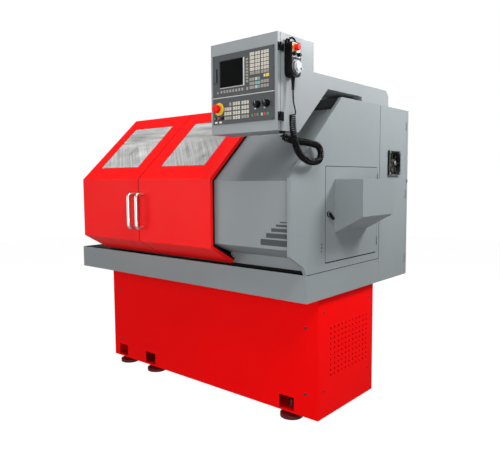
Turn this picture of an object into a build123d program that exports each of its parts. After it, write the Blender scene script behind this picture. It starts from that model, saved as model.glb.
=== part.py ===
from build123d import *
import math
import os

# ---------------------------------------------------------------------------
# Flat-bed turning lathe with a sheet-steel enclosure.
# Working coordinates: X = 0 at the right end plane (left is negative),
# Y = 0 at the front plane of the sliding doors (back is positive), Z = 0 on
# the floor.  Every solid is moved by (-OX, -OY, 0) on export, so that the
# origin is under the middle of the whole machine.
# ---------------------------------------------------------------------------
OX, OY = -881.0, 559.0

# stand
FOOT_H, FOOT_R = 45.0, 64.0
BASE_X0, BASE_X1 = -1770.0, -25.0
BASE_Y0, BASE_Y1 = 271.0, 851.0
BASE_TOP = 691.0
WIN_Z = (57.0, 130.0)
WIN_X = ((-1715.0, -1624.0), (-1421.0, -1323.0), (-275.0, -178.0))
FOOT_X = (-1674.0, -1377.0, -234.0)
FOOT_Y = (329.0, 793.0)

# chip tray
TRAY_X0, TRAY_X1 = -1922.0, 0.0
TRAY_Y0, TRAY_Y1 = 131.0, 868.0
TRAY_TOP = 830.0
TRAY_T = 3.0

# folded front profile (y, z) shared by doors and right end panel
PROFILE = [(169.0, 839.0), (0.0, 935.0), (0.0, 1302.0), (445.0, 1715.0)]
DOOR_DEPTH = 28.0
DOOR_T = 2.0
LDOOR = (-1692.0, -1112.0)
RDOOR = (-1110.0, -517.0)
LWIN = (-1600.0, -1212.0)
RWIN = (-1001.0, -635.0)
WIN_T = (106.0, 504.0)          # along the slope, from the fold
COVER_DEPTH = 32.0
ROOF = 1714.0
END_Y1 = 865.0

# side access door with hood
SIDE_Y = (296.0, 838.0)
SIDE_Z = (875.0, 1358.0)
HOOD_Y = (385.0, 720.0)
HOOD_X, HOOD_TOP, HOOD_FRONT, HOOD_LOW = 160.0, 1294.0, 1107.0, 1019.0

# electrical cabinet
CAB_X0 = -700.0
CAB_Y0, CAB_Y1, CAB_SEAM = 868.0, 1241.0, 1214.0
FAN_Y, FAN_Z, FAN_HALF = 1043.0, 1388.0, 73.0

# operator station
BOX_X0, BOX_FRONT, BOX_SEAM = -406.0, -94.5, -74.5
BOX_Z0, BOX_Z1, BOX_BACK = 1512.0, 1938.0, 185.0
ARM_X0, ARM_TOP = -220.0, 1802.0

# turning axis
AX_Y, AX_Z = 552.0, 1140.0


# --- helpers ----------------------------------------------------------------
def box(x0, x1, y0, y1, z0, z1):
    return Pos((x0 + x1) / 2, (y0 + y1) / 2, (z0 + z1) / 2) * Box(
        x1 - x0, y1 - y0, z1 - z0)


def prism(pts, axis, a, b):
    if axis == "x":
        p3, d = [(a, p, q) for p, q in pts], (1, 0, 0)
    elif axis == "y":
        p3, d = [(p, a, q) for p, q in pts], (0, 1, 0)
    else:
        p3, d = [(p, q, a) for p, q in pts], (0, 0, 1)
    return extrude(make_face(Polyline(*p3, close=True)), amount=b - a, dir=d)


def cyl(axis, a, b, u, v, r):
    if axis == "x":
        o, d = (a, u, v), (1, 0, 0)
    elif axis == "y":
        o, d = (u, a, v), (0, 1, 0)
    else:
        o, d = (u, v, a), (0, 0, 1)
    return Part(Solid.make_cylinder(r, b - a, Plane(origin=o, z_dir=d)).wrapped)


def cone(axis, a, b, u, v, r0, r1):
    if axis == "x":
        o, d = (a, u, v), (1, 0, 0)
    elif axis == "y":
        o, d = (u, a, v), (0, 1, 0)
    else:
        o, d = (u, v, a), (0, 0, 1)
    return Part(Solid.make_cone(r0, r1, b - a, Plane(origin=o, z_dir=d)).wrapped)


def offset_right(pts, d):
    """Open polyline moved by d to the right of its direction (mitred)."""
    n = []
    for (y0, z0), (y1, z1) in zip(pts, pts[1:]):
        l = math.hypot(y1 - y0, z1 - z0)
        n.append(((z1 - z0) / l, -(y1 - y0) / l))
    out = [(pts[0][0] + d * n[0][0], pts[0][1] + d * n[0][1])]
    for i in range(1, len(pts) - 1):
        a, b = n[i - 1], n[i]
        k = d / (1 + a[0] * b[0] + a[1] * b[1])
        out.append((pts[i][0] + k * (a[0] + b[0]), pts[i][1] + k * (a[1] + b[1])))
    out.append((pts[-1][0] + d * n[-1][0], pts[-1][1] + d * n[-1][1]))
    return out


def strip(pts, t):
    return list(pts) + offset_right(pts, t)[::-1]


FOLD, TOPEDGE = PROFILE[2], PROFILE[3]
_l = math.hypot(TOPEDGE[0] - FOLD[0], TOPEDGE[1] - FOLD[1])
SLOPE = ((TOPEDGE[0] - FOLD[0]) / _l, (TOPEDGE[1] - FOLD[1]) / _l)
INWARD = (SLOPE[1], -SLOPE[0])


def on_slope(t, d):
    """Point (y, z) at t along the slope from the fold and d inwards."""
    return (FOLD[0] + t * SLOPE[0] + d * INWARD[0],
            FOLD[1] + t * SLOPE[1] + d * INWARD[1])


def clipped_flange(pts, depth, ymax):
    """Web between the profile and its inward offset, cut off at y = ymax."""
    inn = offset_right(pts, depth)
    (ya, za), (yb, zb) = pts[-1], inn[-1]
    zc = za + (zb - za) * (ymax - ya) / (yb - ya)
    (yc, zd), (ye, zf) = inn[-2], inn[-1]
    zg = zd + (zf - zd) * (ymax - yc) / (ye - yc)
    return list(pts) + [(ymax, zc), (ymax, zg)] + inn[:-1][::-1]


KNUCKLE_R, KNUCKLE_X = 2.8, 3.2


def fixed_knuckle(axis_y, side, zc):
    """Leaf with the two outer barrels of a small butt hinge on the X = 0 face."""
    k = box(-0.5, 1.4, *sorted((axis_y + side * 3.4, axis_y + side * 14)), zc - 24, zc + 24)
    for z0, z1 in ((zc - 24, zc - 8.5), (zc + 8.5, zc + 24)):
        k += box(-0.5, 1.4, *sorted((axis_y + side * 1.5, axis_y + side * 4)), z0, z1)
        k += cyl("z", z0, z1, KNUCKLE_X, axis_y, KNUCKLE_R)
    return k


def moving_knuckle(axis_y, side, zc):
    """Leaf with the middle barrel of the same hinge."""
    return box(-0.5, 1.4, *sorted((axis_y + side * 1.5, axis_y + side * 14)),
               zc - 8, zc + 8) + cyl("z", zc - 8, zc + 8, KNUCKLE_X, axis_y, KNUCKLE_R)


NODES = {}

# --- stand ------------------------------------------------------------------
base = box(BASE_X0, BASE_X1 - 3, BASE_Y0 + 3, BASE_Y1, FOOT_H, BASE_TOP)
base -= box(BASE_X0 + 6, -860, BASE_Y0 + 2, BASE_Y1 - 6, FOOT_H + 8, BASE_TOP - 12)
base -= box(-850, BASE_X1, BASE_Y0 + 2, BASE_Y1 - 6, FOOT_H + 8, BASE_TOP - 12)
for fx in FOOT_X:
    for fy in FOOT_Y:
        base -= cyl("z", FOOT_H - 1, FOOT_H + 9, fx, fy, 11.5)
NODES["base_cabinet"] = base

front = box(BASE_X0, BASE_X1, BASE_Y0, BASE_Y0 + 3, FOOT_H, BASE_TOP)
for x0, x1 in WIN_X:
    front -= box(x0, x1, BASE_Y0 - 1, BASE_Y0 + 4, *WIN_Z)
NODES["base_front_panel"] = front

VENT_COLS, VENT_ROWS = 11, 10
VENT_Y, VENT_Z, VENT_R = (393.0, 774.0), (258.0, 512.0), 6.0
vent = box(BASE_X1 - 3, BASE_X1, BASE_Y0 + 3, BASE_Y1, FOOT_H, BASE_TOP)
holes = []
for i in range(VENT_COLS):
    for j in range(VENT_ROWS):
        hy = VENT_Y[0] + (VENT_Y[1] - VENT_Y[0]) * i / (VENT_COLS - 1)
        hz = VENT_Z[0] + (VENT_Z[1] - VENT_Z[0]) * j / (VENT_ROWS - 1)
        holes.append(cyl("x", BASE_X1 - 4, BASE_X1 + 1, hy, hz, VENT_R))
vent -= holes
NODES["base_vent_panel"] = vent

feet = []
for fx in FOOT_X:
    for fy in FOOT_Y:
        f = cyl("z", 0, 18, fx, fy, FOOT_R) + cone("z", 18, 33, fx, fy, FOOT_R, 30)
        f += cyl("z", 33, FOOT_H, fx, fy, 22)
        f += cyl("z", FOOT_H, 92, fx, fy, 11)
        f += cyl("z", FOOT_H + 8, FOOT_H + 24, fx, fy, 18)
        feet.append(f)
NODES["levelling_feet"] = feet

# --- chip tray ----------------------------------------------------------------
tray = box(TRAY_X0, TRAY_X1, TRAY_Y0, TRAY_Y1, BASE_TOP, TRAY_TOP)
tray -= box(TRAY_X0 + TRAY_T, TRAY_X1 - TRAY_T, TRAY_Y0 + TRAY_T, TRAY_Y1 - TRAY_T,
            BASE_TOP + TRAY_T, TRAY_TOP + 1)
NODES["chip_tray"] = tray
FLOOR = BASE_TOP + TRAY_T

# --- bed ----------------------------------------------------------------------
WAY = 970.0
bed = prism([(430, FLOOR), (674, FLOOR), (674, 930), (684, 940), (684, WAY), (634, WAY),
             (634, 930), (470, 930), (470, WAY), (420, WAY), (420, 940), (430, 930)],
            "x", -1660, -80)
for bx in (-1230, -980, -730, -480):
    bed -= box(bx, bx + 170, 476, 628, 760, 931)
SCREW_Y, SCREW_Z = 372.0, 920.0
bearing = prism([(345, 893), (429.9, 893), (429.9, 930), (419.9, 940), (419.9, 947), (345, 947)],
                "x", -1420, -1375)
bearing -= cyl("x", -1402, -1374, SCREW_Y, SCREW_Z, 14.5)
NODES["bed"] = [bed, bearing]

# --- headstock, spindle and chuck --------------------------------------------
head = prism([(412, WAY), (692, WAY), (692, 1250), (652, 1290), (452, 1290), (412, 1250)],
             "x", -1660, -1400)
head += cyl("x", -1402, -1388, AX_Y, AX_Z, 98)
head -= cyl("x", -1700, -1380, AX_Y, AX_Z, 45.3)
NODES["headstock"] = head

spindle = cyl("x", -1862, -1372, AX_Y, AX_Z, 45) + cyl("x", -1386, -1370, AX_Y, AX_Z, 75)
spindle -= cyl("x", -1870, -1360, AX_Y, AX_Z, 26)
NODES["spindle"] = spindle

PULLEY_X = (-1850.0, -1790.0)
P1_R, P2_R = 80.0, 50.0
MOT_Y, MOT_Z = 784.0, 1170.0
NODES["spindle_pulley"] = (cyl("x", *PULLEY_X, AX_Y, AX_Z, P1_R)
                           - cyl("x", PULLEY_X[0] - 1, PULLEY_X[1] + 1, AX_Y, AX_Z, 45.02))

CHUCK_R, CHUCK_X = 100.0, (-1370.0, -1290.0)
chuck = cyl("x", *CHUCK_X, AX_Y, AX_Z, CHUCK_R) - cyl("x", -1371, -1289, AX_Y, AX_Z, 28)
chuck = chamfer(chuck.edges().filter_by(GeomType.CIRCLE).sort_by(SortBy.RADIUS)[-2:], 4)
jaw = box(-1299.5, -1288, AX_Y - 7.5, AX_Y + 7.5, AX_Z + 34, AX_Z + 80)
jaw += box(-1289.5, -1268, AX_Y - 14, AX_Y + 14, AX_Z + 34, AX_Z + 84)
jaw += box(-1268.5, -1250, AX_Y - 14, AX_Y + 14, AX_Z + 34, AX_Z + 58)
slot = box(-1300, -1289, AX_Y - 8, AX_Y + 8, AX_Z + 20, AX_Z + 110)
JAW_ANGLES = (0.0, 120.0, 240.0)
AXIS_X = Axis((0, AX_Y, AX_Z), (1, 0, 0))
for k, a in enumerate(JAW_ANGLES):
    chuck -= slot.rotate(AXIS_X, a)
    NODES["chuck_jaw_%d" % (k + 1)] = jaw.rotate(AXIS_X, a)
NODES["chuck_body"] = chuck

# --- main drive ---------------------------------------------------------------
motor = cyl("x", -1655, -1360, MOT_Y, MOT_Z, 72) + cyl("x", -1662, -1655, MOT_Y, MOT_Z, 55)
motor += box(-1610, -1420, 692, 720, MOT_Z - 60, MOT_Z + 60)
motor += box(-1560, -1470, MOT_Y - 40, MOT_Y + 40, MOT_Z + 60, MOT_Z + 105)
motor -= cyl("x", -1670, -1640, MOT_Y, MOT_Z, 19.3)
NODES["spindle_motor"] = motor
NODES["motor_pulley"] = (cyl("x", *PULLEY_X, MOT_Y, MOT_Z, P2_R)
                         + cyl("x", -1856, -1645, MOT_Y, MOT_Z, 19))


def loop_prism(r1, r2, x0, x1):
    """Solid bounded by two circles and their outer tangents (belt outline)."""
    dy, dz = MOT_Y - AX_Y, MOT_Z - AX_Z
    d = math.hypot(dy, dz)
    base_a = math.atan2(dz, dy)
    a = math.acos((r1 - r2) / d)
    p = [(AX_Y + r1 * math.cos(base_a + a), AX_Z + r1 * math.sin(base_a + a)),
         (MOT_Y + r2 * math.cos(base_a + a), MOT_Z + r2 * math.sin(base_a + a)),
         (MOT_Y + r2 * math.cos(base_a - a), MOT_Z + r2 * math.sin(base_a - a)),
         (AX_Y + r1 * math.cos(base_a - a), AX_Z + r1 * math.sin(base_a - a))]
    return prism(p, "x", x0, x1) + cyl("x", x0, x1, AX_Y, AX_Z, r1) + cyl(
        "x", x0, x1, MOT_Y, MOT_Z, r2)


NODES["drive_belt"] = (loop_prism(P1_R + 7, P2_R + 7, -1842, -1798)
                       - loop_prism(P1_R + 0.6, P2_R + 0.6, -1843, -1797))

LEFT_X = -1690.0
NODES["belt_cover"] = (box(-1885, LEFT_X, 420, 862, 1030, 1300)
                       - box(-1883, LEFT_X + 1, 422, 860, 1032, 1298))

# --- carriage, cross slide, turret --------------------------------------------
TUR_X, TUR_Y = -910.0, 340.0
saddle = box(-1060, -760, 405, 699, WAY + 0.5, 1010)
saddle += box(-985, -835, 290, 699, 985, 1030)
saddle += box(-985, -835, 340, 414, 888, 1000)
saddle += box(-1060, -760, 690, 704, 945, 1010)
saddle -= cyl("x", -1000, -800, SCREW_Y, SCREW_Z, 14.5)
NODES["carriage_saddle"] = saddle

cross = box(-1000, -820, 250, 520, 1030.5, 1062) + box(-990, -830, 250, 440, 1060, 1075)
NODES["cross_slide"] = cross

tur = cyl("z", 1075.5, 1096, TUR_X, TUR_Y, 66)
tur += box(TUR_X - 75, TUR_X + 75, TUR_Y - 75, TUR_Y + 75, 1095, 1120)
tur += box(TUR_X - 50, TUR_X + 50, TUR_Y - 50, TUR_Y + 50, 1119, 1143)
tur += box(TUR_X - 75, TUR_X + 75, TUR_Y - 75, TUR_Y + 75, 1142, 1178)
for sx in (-65, 65):
    for sy in (-50, 0, 50):
        tur += cyl("z", 1177, 1190, TUR_X + sx, TUR_Y + sy, 6)
tur += cyl("z", 1177, 1196, TUR_X, TUR_Y, 30)
NODES["tool_turret"] = tur

SHANK = 20.0


def tool(flip):
    y0 = TUR_Y - 60
    shank = box(TUR_X - 74, TUR_X - 74 + SHANK, y0, TUR_Y + 100, 1120, 1140)
    tip = prism([(TUR_X - 74, TUR_Y + 99), (TUR_X - 54, TUR_Y + 99),
                 (TUR_X - 70, TUR_Y + 115)], "z", 1128, 1140)
    t = shank + tip
    return t.rotate(Axis((TUR_X, TUR_Y, 0), (0, 0, 1)), 180) if flip else t


NODES["turning_tools"] = [tool(False), tool(True)]

NODES["z_ballscrew"] = cyl("x", -1400, -165, SCREW_Y, SCREW_Z, 14)
servo = box(-150, -34, 327, 417, 875, 965) + box(-163, -150, 318, 419, 866, 974)
servo += cyl("x", -34, -18, SCREW_Y, SCREW_Z, 38)
servo += box(-120, -80, 346, 398, 965, 990)
NODES["z_servo_motor"] = servo

# --- tailstock ----------------------------------------------------------------
ts = box(-330, -110, 422, 682, WAY + 0.5, 1012)
ts += prism([(470, 1010), (634, 1010), (606, 1140), (498, 1140)], "x", -320, -120)
ts += cyl("x", -330, -110, AX_Y, AX_Z, 62)
ts -= cyl("x", -331, -109, AX_Y, AX_Z, 32.3)
NODES["tailstock_body"] = ts
quill = cyl("x", -400, -170, AX_Y, AX_Z, 32) + cyl("x", -418, -400, AX_Y, AX_Z, 22)
quill += cone("x", -455, -418, AX_Y, AX_Z, 1.0, 21)
NODES["tailstock_quill"] = quill
wheel = cyl("x", -52, -38, AX_Y, AX_Z, 80) - cyl("x", -53, -37, AX_Y, AX_Z, 67)
for a in (0, 120, 240):
    wheel += box(-50, -40, AX_Y - 7, AX_Y + 7, AX_Z + 15, AX_Z + 70).rotate(AXIS_X, a)
wheel += cyl("x", -56, -34, AX_Y, AX_Z, 20) + cyl("x", -166, -50, AX_Y, AX_Z, 14)
wheel += cyl("x", -109.5, -96, AX_Y, AX_Z, 34)
wheel += cyl("x", -39, 8, AX_Y, AX_Z + 73, 6.4)
NODES["tailstock_handwheel"] = wheel

# --- enclosure ------------------------------------------------------------------
left = prism([(185, FLOOR), (862, FLOOR), (862, ROOF - 3), (458, ROOF - 3),
              (458, 1683), *offset_right(PROFILE, COVER_DEPTH)[:-1][::-1], (185, 860)],
             "x", LEFT_X, LEFT_X + 3)
left -= box(LEFT_X - 1, LEFT_X + 4, 432, 852, 1042, 1288)
NODES["left_end_panel"] = left

BACK_X1 = -3.0
back = box(LEFT_X, BACK_X1, 862, END_Y1, FLOOR, ROOF)
back += box(LEFT_X, BACK_X1, 458, END_Y1, ROOF - 3, ROOF)
back += box(LEFT_X + 3, BACK_X1, 458, 461, 1640, ROOF)
NODES["back_panel"] = back

END_PROFILE = [(131, 830), (107, 871), (0, 935), (0, 1302), (445, 1714)]
end = prism(END_PROFILE + [(END_Y1, ROOF), (END_Y1, 830)], "x", -3, 0)
end -= box(-4, 1, SIDE_Y[0] - 2, SIDE_Y[1] + 2, SIDE_Z[0] - 2, SIDE_Z[1] + 2)
SIDE_HINGE_Y, SIDE_HINGE_Z = 839.0, (940.0, 1300.0)
for zc in SIDE_HINGE_Z:
    end += fixed_knuckle(SIDE_HINGE_Y, 1, zc)
rim = prism(strip(END_PROFILE, 3), "x", -20, -3)
rim += prism(clipped_flange(END_PROFILE, COVER_DEPTH - 4, 456), "x", -20, -18)
NODES["right_end_panel"] = end

COVER_X0 = -545.0
cover_line = [(186, FLOOR), (186, 897), (32, 960), offset_right(PROFILE, COVER_DEPTH)[2],
              on_slope(556, COVER_DEPTH)]
cover = prism(strip(cover_line, DOOR_T), "x", COVER_X0, -3)
cover += prism(strip(cover_line[:-1] + [on_slope(518, COVER_DEPTH)], 25), "x", COVER_X0,
               COVER_X0 + 2)
NODES["front_cover"] = [cover, rim]

side = box(-3, 0, *SIDE_Y, *SIDE_Z)
hood_out = [(-1, HOOD_TOP), (HOOD_X, HOOD_TOP), (HOOD_X, HOOD_FRONT), (-1, HOOD_LOW)]
hood_in = [(-4, HOOD_TOP - 2), (HOOD_X - 2, HOOD_TOP - 2), (HOOD_X - 2, HOOD_FRONT + 1.2),
           (-4, HOOD_LOW + 0.6)]
side += prism(hood_out, "y", *HOOD_Y)
side -= prism(hood_in, "y", HOOD_Y[0] + 2, HOOD_Y[1] - 2)
for zc in SIDE_HINGE_Z:
    side += moving_knuckle(SIDE_HINGE_Y, -1, zc)
LATCH_Y, LATCH_Z = 322.0, 1119.0
side -= cyl("x", -4, 1, LATCH_Y, LATCH_Z, 8.3)
NODES["side_door"] = side
latch = cyl("x", 0.3, 7, LATCH_Y, LATCH_Z, 14) + cyl("x", -7.6, 1, LATCH_Y, LATCH_Z, 8)
# wing grip, pointing down and to the back at rest
WING = [(-8.0, 6.0), (-8.0, -6.0), (34.0, -7.5), (44.0, -5.0), (44.0, 5.0), (34.0, 7.5)]
WING_A = math.radians(-39.5)
latch += prism([(LATCH_Y + a * math.cos(WING_A) - b * math.sin(WING_A),
                 LATCH_Z + a * math.sin(WING_A) + b * math.cos(WING_A)) for a, b in WING],
               "x", 6, 16)
latch += box(-7.6, -3.6, LATCH_Y - 9, LATCH_Y + 9, LATCH_Z - 9, LATCH_Z + 48)
NODES["side_latch"] = latch


def door(xr, win, shoes):
    d = prism(strip(PROFILE, DOOR_T), "x", *xr)
    web = clipped_flange(PROFILE, DOOR_DEPTH, 456)
    d += prism(web, "x", xr[0], xr[0] + 2)
    d += prism(web, "x", xr[1] - 2, xr[1])
    d += box(*xr, 444.6, 456, 1712.6, 1715)
    inn = offset_right(PROFILE, DOOR_DEPTH)[0]
    by, bz = PROFILE[0]
    d += prism([(by, by * 0 + bz), inn, (inn[0] - 1.74, inn[1] + 0.99),
                (by - 1.74, bz + 0.99)], "x", *xr)
    cut = [on_slope(WIN_T[0], -5), on_slope(WIN_T[1], -5), on_slope(WIN_T[1], 12),
           on_slope(WIN_T[0], 12)]
    d -= prism(cut, "x", *win)
    shoe = [(388.8, 1661), (440.5, 1661), (440.5, 1648), (451.5, 1648), (451.5, 1680),
            (409.2, 1680)]
    for s in shoes:
        d += prism(shoe, "x", s, s + 60)
    pane = prism([on_slope(WIN_T[0] - 14, DOOR_T), on_slope(WIN_T[1] + 14, DOOR_T),
                  on_slope(WIN_T[1] + 14, DOOR_T + 4), on_slope(WIN_T[0] - 14, DOOR_T + 4)],
                 "x", win[0] - 14, win[1] + 14)
    return d, pane


NODES["left_door"], NODES["left_window"] = door(LDOOR, LWIN, (-1450, -1180))
NODES["right_door"], NODES["right_window"] = door(RDOOR, RWIN, (-1085, -610))

HANDLE_Z, HANDLE_OUT, HANDLE_R = (1016.0, 1212.0), 58.0, 11.0


def handle(x):
    path = FilletPolyline((x, 0, HANDLE_Z[0]), (x, -HANDLE_OUT + HANDLE_R, HANDLE_Z[0]),
                          (x, -HANDLE_OUT + HANDLE_R, HANDLE_Z[1]), (x, 0, HANDLE_Z[1]),
                          radius=18)
    return sweep(Plane(origin=(x, 0, HANDLE_Z[0]), z_dir=(0, -1, 0)) * Circle(HANDLE_R),
                 path=path)


LHANDLE_X, RHANDLE_X = -1149.0, -1075.0
NODES["left_handle"] = handle(LHANDLE_X)
NODES["right_handle"] = handle(RHANDLE_X)

upper = box(LEFT_X + 4, -20.5, 434, 458, 1640, 1660) - box(LEFT_X, 0, 440, 452, 1646, 1661)
lower = box(LEFT_X + 4, COVER_X0 - 0.5, 186, 206, 832, 862)
NODES["door_rails"] = [upper, lower]

# --- electrical cabinet -----------------------------------------------------------
cab = box(CAB_X0, 0, CAB_Y0, CAB_SEAM, BASE_TOP, ROOF)
cab -= box(CAB_X0 + 2, -2, CAB_Y0 + 2, CAB_SEAM + 1, BASE_TOP + 2, ROOF - 2)
cab -= cyl("x", -5, 1, FAN_Y, FAN_Z, 67)
CAB_HINGE_Y, CAB_HINGE_Z = 1215.0, (800.0, 1200.0, 1620.0)
for zc in CAB_HINGE_Z:
    cab += fixed_knuckle(CAB_HINGE_Y, -1, zc)
NODES["electrical_cabinet"] = cab
cdoor = box(CAB_X0, 0, CAB_SEAM + 2, CAB_Y1, BASE_TOP, ROOF)
cdoor -= box(CAB_X0 + 2, -2, CAB_SEAM + 1, CAB_Y1 - 2, BASE_TOP + 2, ROOF - 2)
for zc in CAB_HINGE_Z:
    cdoor += moving_knuckle(CAB_HINGE_Y, 1, zc)
NODES["cabinet_door"] = cdoor

FAN_OUT, FAN_IN, FAN_BORE = 12.0, -32.0, 64.0
AXIS_FAN = Axis((0, FAN_Y, FAN_Z), (1, 0, 0))
fan = box(0, FAN_OUT, FAN_Y - FAN_HALF, FAN_Y + FAN_HALF, FAN_Z - FAN_HALF, FAN_Z + FAN_HALF)
fan += cyl("x", FAN_IN, 1, FAN_Y, FAN_Z, FAN_BORE + 2.5)
fan -= cyl("x", FAN_IN - 1, FAN_OUT + 1, FAN_Y, FAN_Z, FAN_BORE)
for a in (45, 135):
    fan += box(FAN_IN, FAN_IN + 3, FAN_Y - 65, FAN_Y + 65, FAN_Z - 4, FAN_Z + 4).rotate(AXIS_FAN, a)
fan += cyl("x", FAN_IN, FAN_IN + 3, FAN_Y, FAN_Z, 24)
for a in (0, 90):
    fan += box(8, 11, FAN_Y - 65, FAN_Y + 65, FAN_Z - 3, FAN_Z + 3).rotate(AXIS_FAN, a)
fan += cyl("x", 8, 11.5, FAN_Y, FAN_Z, 20)
NODES["fan_housing"] = fan
rotor = cyl("x", FAN_IN + 3.5, 6.5, FAN_Y, FAN_Z, 23)
BLADES = 7
for k in range(BLADES):
    b = box(-9, -7, FAN_Y - 15, FAN_Y + 15, FAN_Z + 20, FAN_Z + 59)
    b = b.rotate(Axis((-8, FAN_Y, FAN_Z), (0, 0, 1)), 38)
    rotor += b.rotate(AXIS_FAN, 360.0 * k / BLADES)
NODES["fan_rotor"] = rotor

# --- operator station ---------------------------------------------------------------
hous = prism([(BOX_SEAM, BOX_Z0), (64, BOX_Z0), (185, 1622.2), (185, BOX_Z1),
              (BOX_SEAM, BOX_Z1)], "x", BOX_X0, 0)
hous += prism([(170, 1608.6), (312, 1738), (651, 1738), (651, ROOF), (964, ROOF), (964, 1772),
               (934, ARM_TOP), (170, ARM_TOP)], "x", ARM_X0, 0)
hous -= prism([(BOX_SEAM - 1, BOX_Z0 + 2), (63.2, BOX_Z0 + 2), (183, 1623.1),
               (183, BOX_Z1 - 2), (BOX_SEAM - 1, BOX_Z1 - 2)], "x", BOX_X0 + 2, -2)
hous -= prism([(168, 1609.4), (311.1, 1740), (653, 1740), (653, ROOF + 2), (962, ROOF + 2),
               (962, 1771.2), (933.2, ARM_TOP - 2), (168, ARM_TOP - 2)], "x", ARM_X0 + 2, -2)
NODES["control_housing"] = hous

DOOR_BACK = BOX_SEAM - 0.5
PANEL_Y = BOX_FRONT - 5.0
PX0, PX1 = -390.0, -17.0
ES_X, ES_Z = -350.0, 1631.5
KNOB_Z, KNOB1_X, KNOB2_X = 1633.5, -109.0, -55.0
cd = box(BOX_X0, 0, BOX_FRONT, DOOR_BACK, BOX_Z0, BOX_Z1)
cd -= box(BOX_X0 + 2, -2, BOX_FRONT + 2, DOOR_BACK + 1, BOX_Z0 + 2, BOX_Z1 - 2)
cd -= cyl("y", BOX_FRONT - 1, BOX_FRONT + 3, ES_X, ES_Z, 12)
NODES["control_door"] = cd

SCREEN = (-341.5, -197.0, 1730.5, 1852.5)
disp = box(PX0, PX1, PANEL_Y, BOX_FRONT, 1686, 1883)
disp -= box(SCREEN[0], SCREEN[1], PANEL_Y - 1, PANEL_Y + 1.5, SCREEN[2], SCREEN[3])
NODES["display_panel"] = disp
mach = box(PX0, PX1, PANEL_Y, BOX_FRONT, 1559, 1682)
mach -= cyl("y", PANEL_Y - 1, BOX_FRONT + 1, ES_X, ES_Z, 12)
NODES["machine_panel"] = mach

KEY_T = 1.5
keys = []


def key(x, z, w, h):
    keys.append(box(x - w / 2, x + w / 2, PANEL_Y - KEY_T, PANEL_Y, z - h / 2, z + h / 2))


# soft keys beside and below the screen
for j in range(8):
    key(-172, 1841.6 - j * 14.1, 14, 9)
for i in range(8):
    key(-332.5 + i * 18.84, 1710.5, 11, 12)
key(-356.5, 1708, 8, 10)
key(-171, 1710, 11, 13)
# main key block: column groups of 2, 2, 1 and 2, six rows
BLOCK_COLS = (-147.8, -134, -116.2, -101.5, -81.9, -66.2, -51.3)
for j in range(6):
    for cx in BLOCK_COLS:
        key(cx, 1860.3 - j * 17, 12.5, 13.5)
# cursor group, confirm keys and edit keys
for cx in (-150.3, -135, -117.5, -102.3):
    for cz in (1748, 1729.5, 1712):
        key(cx, cz, 13, 13)
key(-51.7, 1757, 17, 14)
key(-69, 1757, 10, 12)
for cx in (-84.2, -68, -51.8):
    for cz in (1732, 1712.6):
        key(cx, cz, 13, 13)
# machine panel: three groups of three columns and four rows, two places left free
for g in range(3):
    for i in range(3):
        for j in range(4):
            if g == 0 and j == 0 and i < 2:
                continue
            key(-308.3 + g * 54.1 + i * 15.8, 1649.6 - j * 21.3, 12, 15)
# push buttons and small keys
for cx in (-376.5, -350, -327):
    key(cx, 1588.5, 15, 15)
for cx in (-141.5, -124.5, -108.8, -85, -68.9, -51.4):
    key(cx, 1588, 11, 13)
NODES["panel_keys"] = keys

es = cyl("y", PANEL_Y - 15, PANEL_Y + 4, ES_X, ES_Z, 11) + cyl("y", PANEL_Y - 29, PANEL_Y - 14, ES_X, ES_Z, 20)
es += cone("y", PANEL_Y - 35, PANEL_Y - 29, ES_X, ES_Z, 14, 20)
NODES["estop_button"] = es


def knob(x):
    k = cyl("y", PANEL_Y - 4, PANEL_Y - 0.3, x, KNOB_Z, 16.5)
    k += cone("y", PANEL_Y - 22, PANEL_Y - 4, x, KNOB_Z, 12.5, 14.5)
    return k + box(x - 1.2, x + 1.2, PANEL_Y - 22.8, PANEL_Y - 4, KNOB_Z + 1, KNOB_Z + 15)


NODES["feed_knob"] = knob(KNOB2_X)
NODES["spindle_knob"] = knob(KNOB1_X)

HINGE_X, HINGE_Y = 6.5, BOX_SEAM - 6.0
hinges = []
for z0, z1 in ((1555, 1593), (1856, 1893)):
    h = cyl("z", z0, z1, HINGE_X, HINGE_Y, 5) + box(0, 4, BOX_SEAM + 0.5, BOX_SEAM + 21.5, z0, z1)
    hinges.append(h + box(3, 9, BOX_SEAM - 4, BOX_SEAM + 4, z0, z1))
NODES["control_hinges"] = hinges

# --- handheld pendant on the right side of the control box ---------------------------
PEND_X, PEND_Y, PEND_Z = (3.0, 43.0), (-48.0, 20.0), (1746.0, 1897.0)
pend = box(*PEND_X, *PEND_Y, *PEND_Z)
pend = fillet(pend.edges().filter_by(Axis.X).group_by(Axis.Z)[0], 24)
pend = fillet(pend.edges().filter_by(Axis.X).group_by(Axis.Z)[-1], 8)
PE_Y, PE_Z = -26.0, 1871.5
pend -= cyl("x", 34, 44, PE_Y, PE_Z, 8.5)
pend += box(0, 9, -44, -37, 1870, 1907) + box(0, 9, -23, -15, 1870, 1917)
pend += box(0, 4, -44, -15, 1880, 1894)
NODES["pendant_body"] = pend
NODES["pendant_estop"] = (cyl("x", 38, 52, PE_Y, PE_Z, 8) + cyl("x", 51, 63, PE_Y, PE_Z, 15)
                          + cone("x", 63, 67, PE_Y, PE_Z, 15, 10))


def small_knob(y, z):
    return cyl("x", 43.3, 47, y, z, 9.5) + cone("x", 47, 58, y, z, 8.5, 7.5) + box(
        56, 58.8, y - 1, y + 1, z - 1, z + 8)


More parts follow.
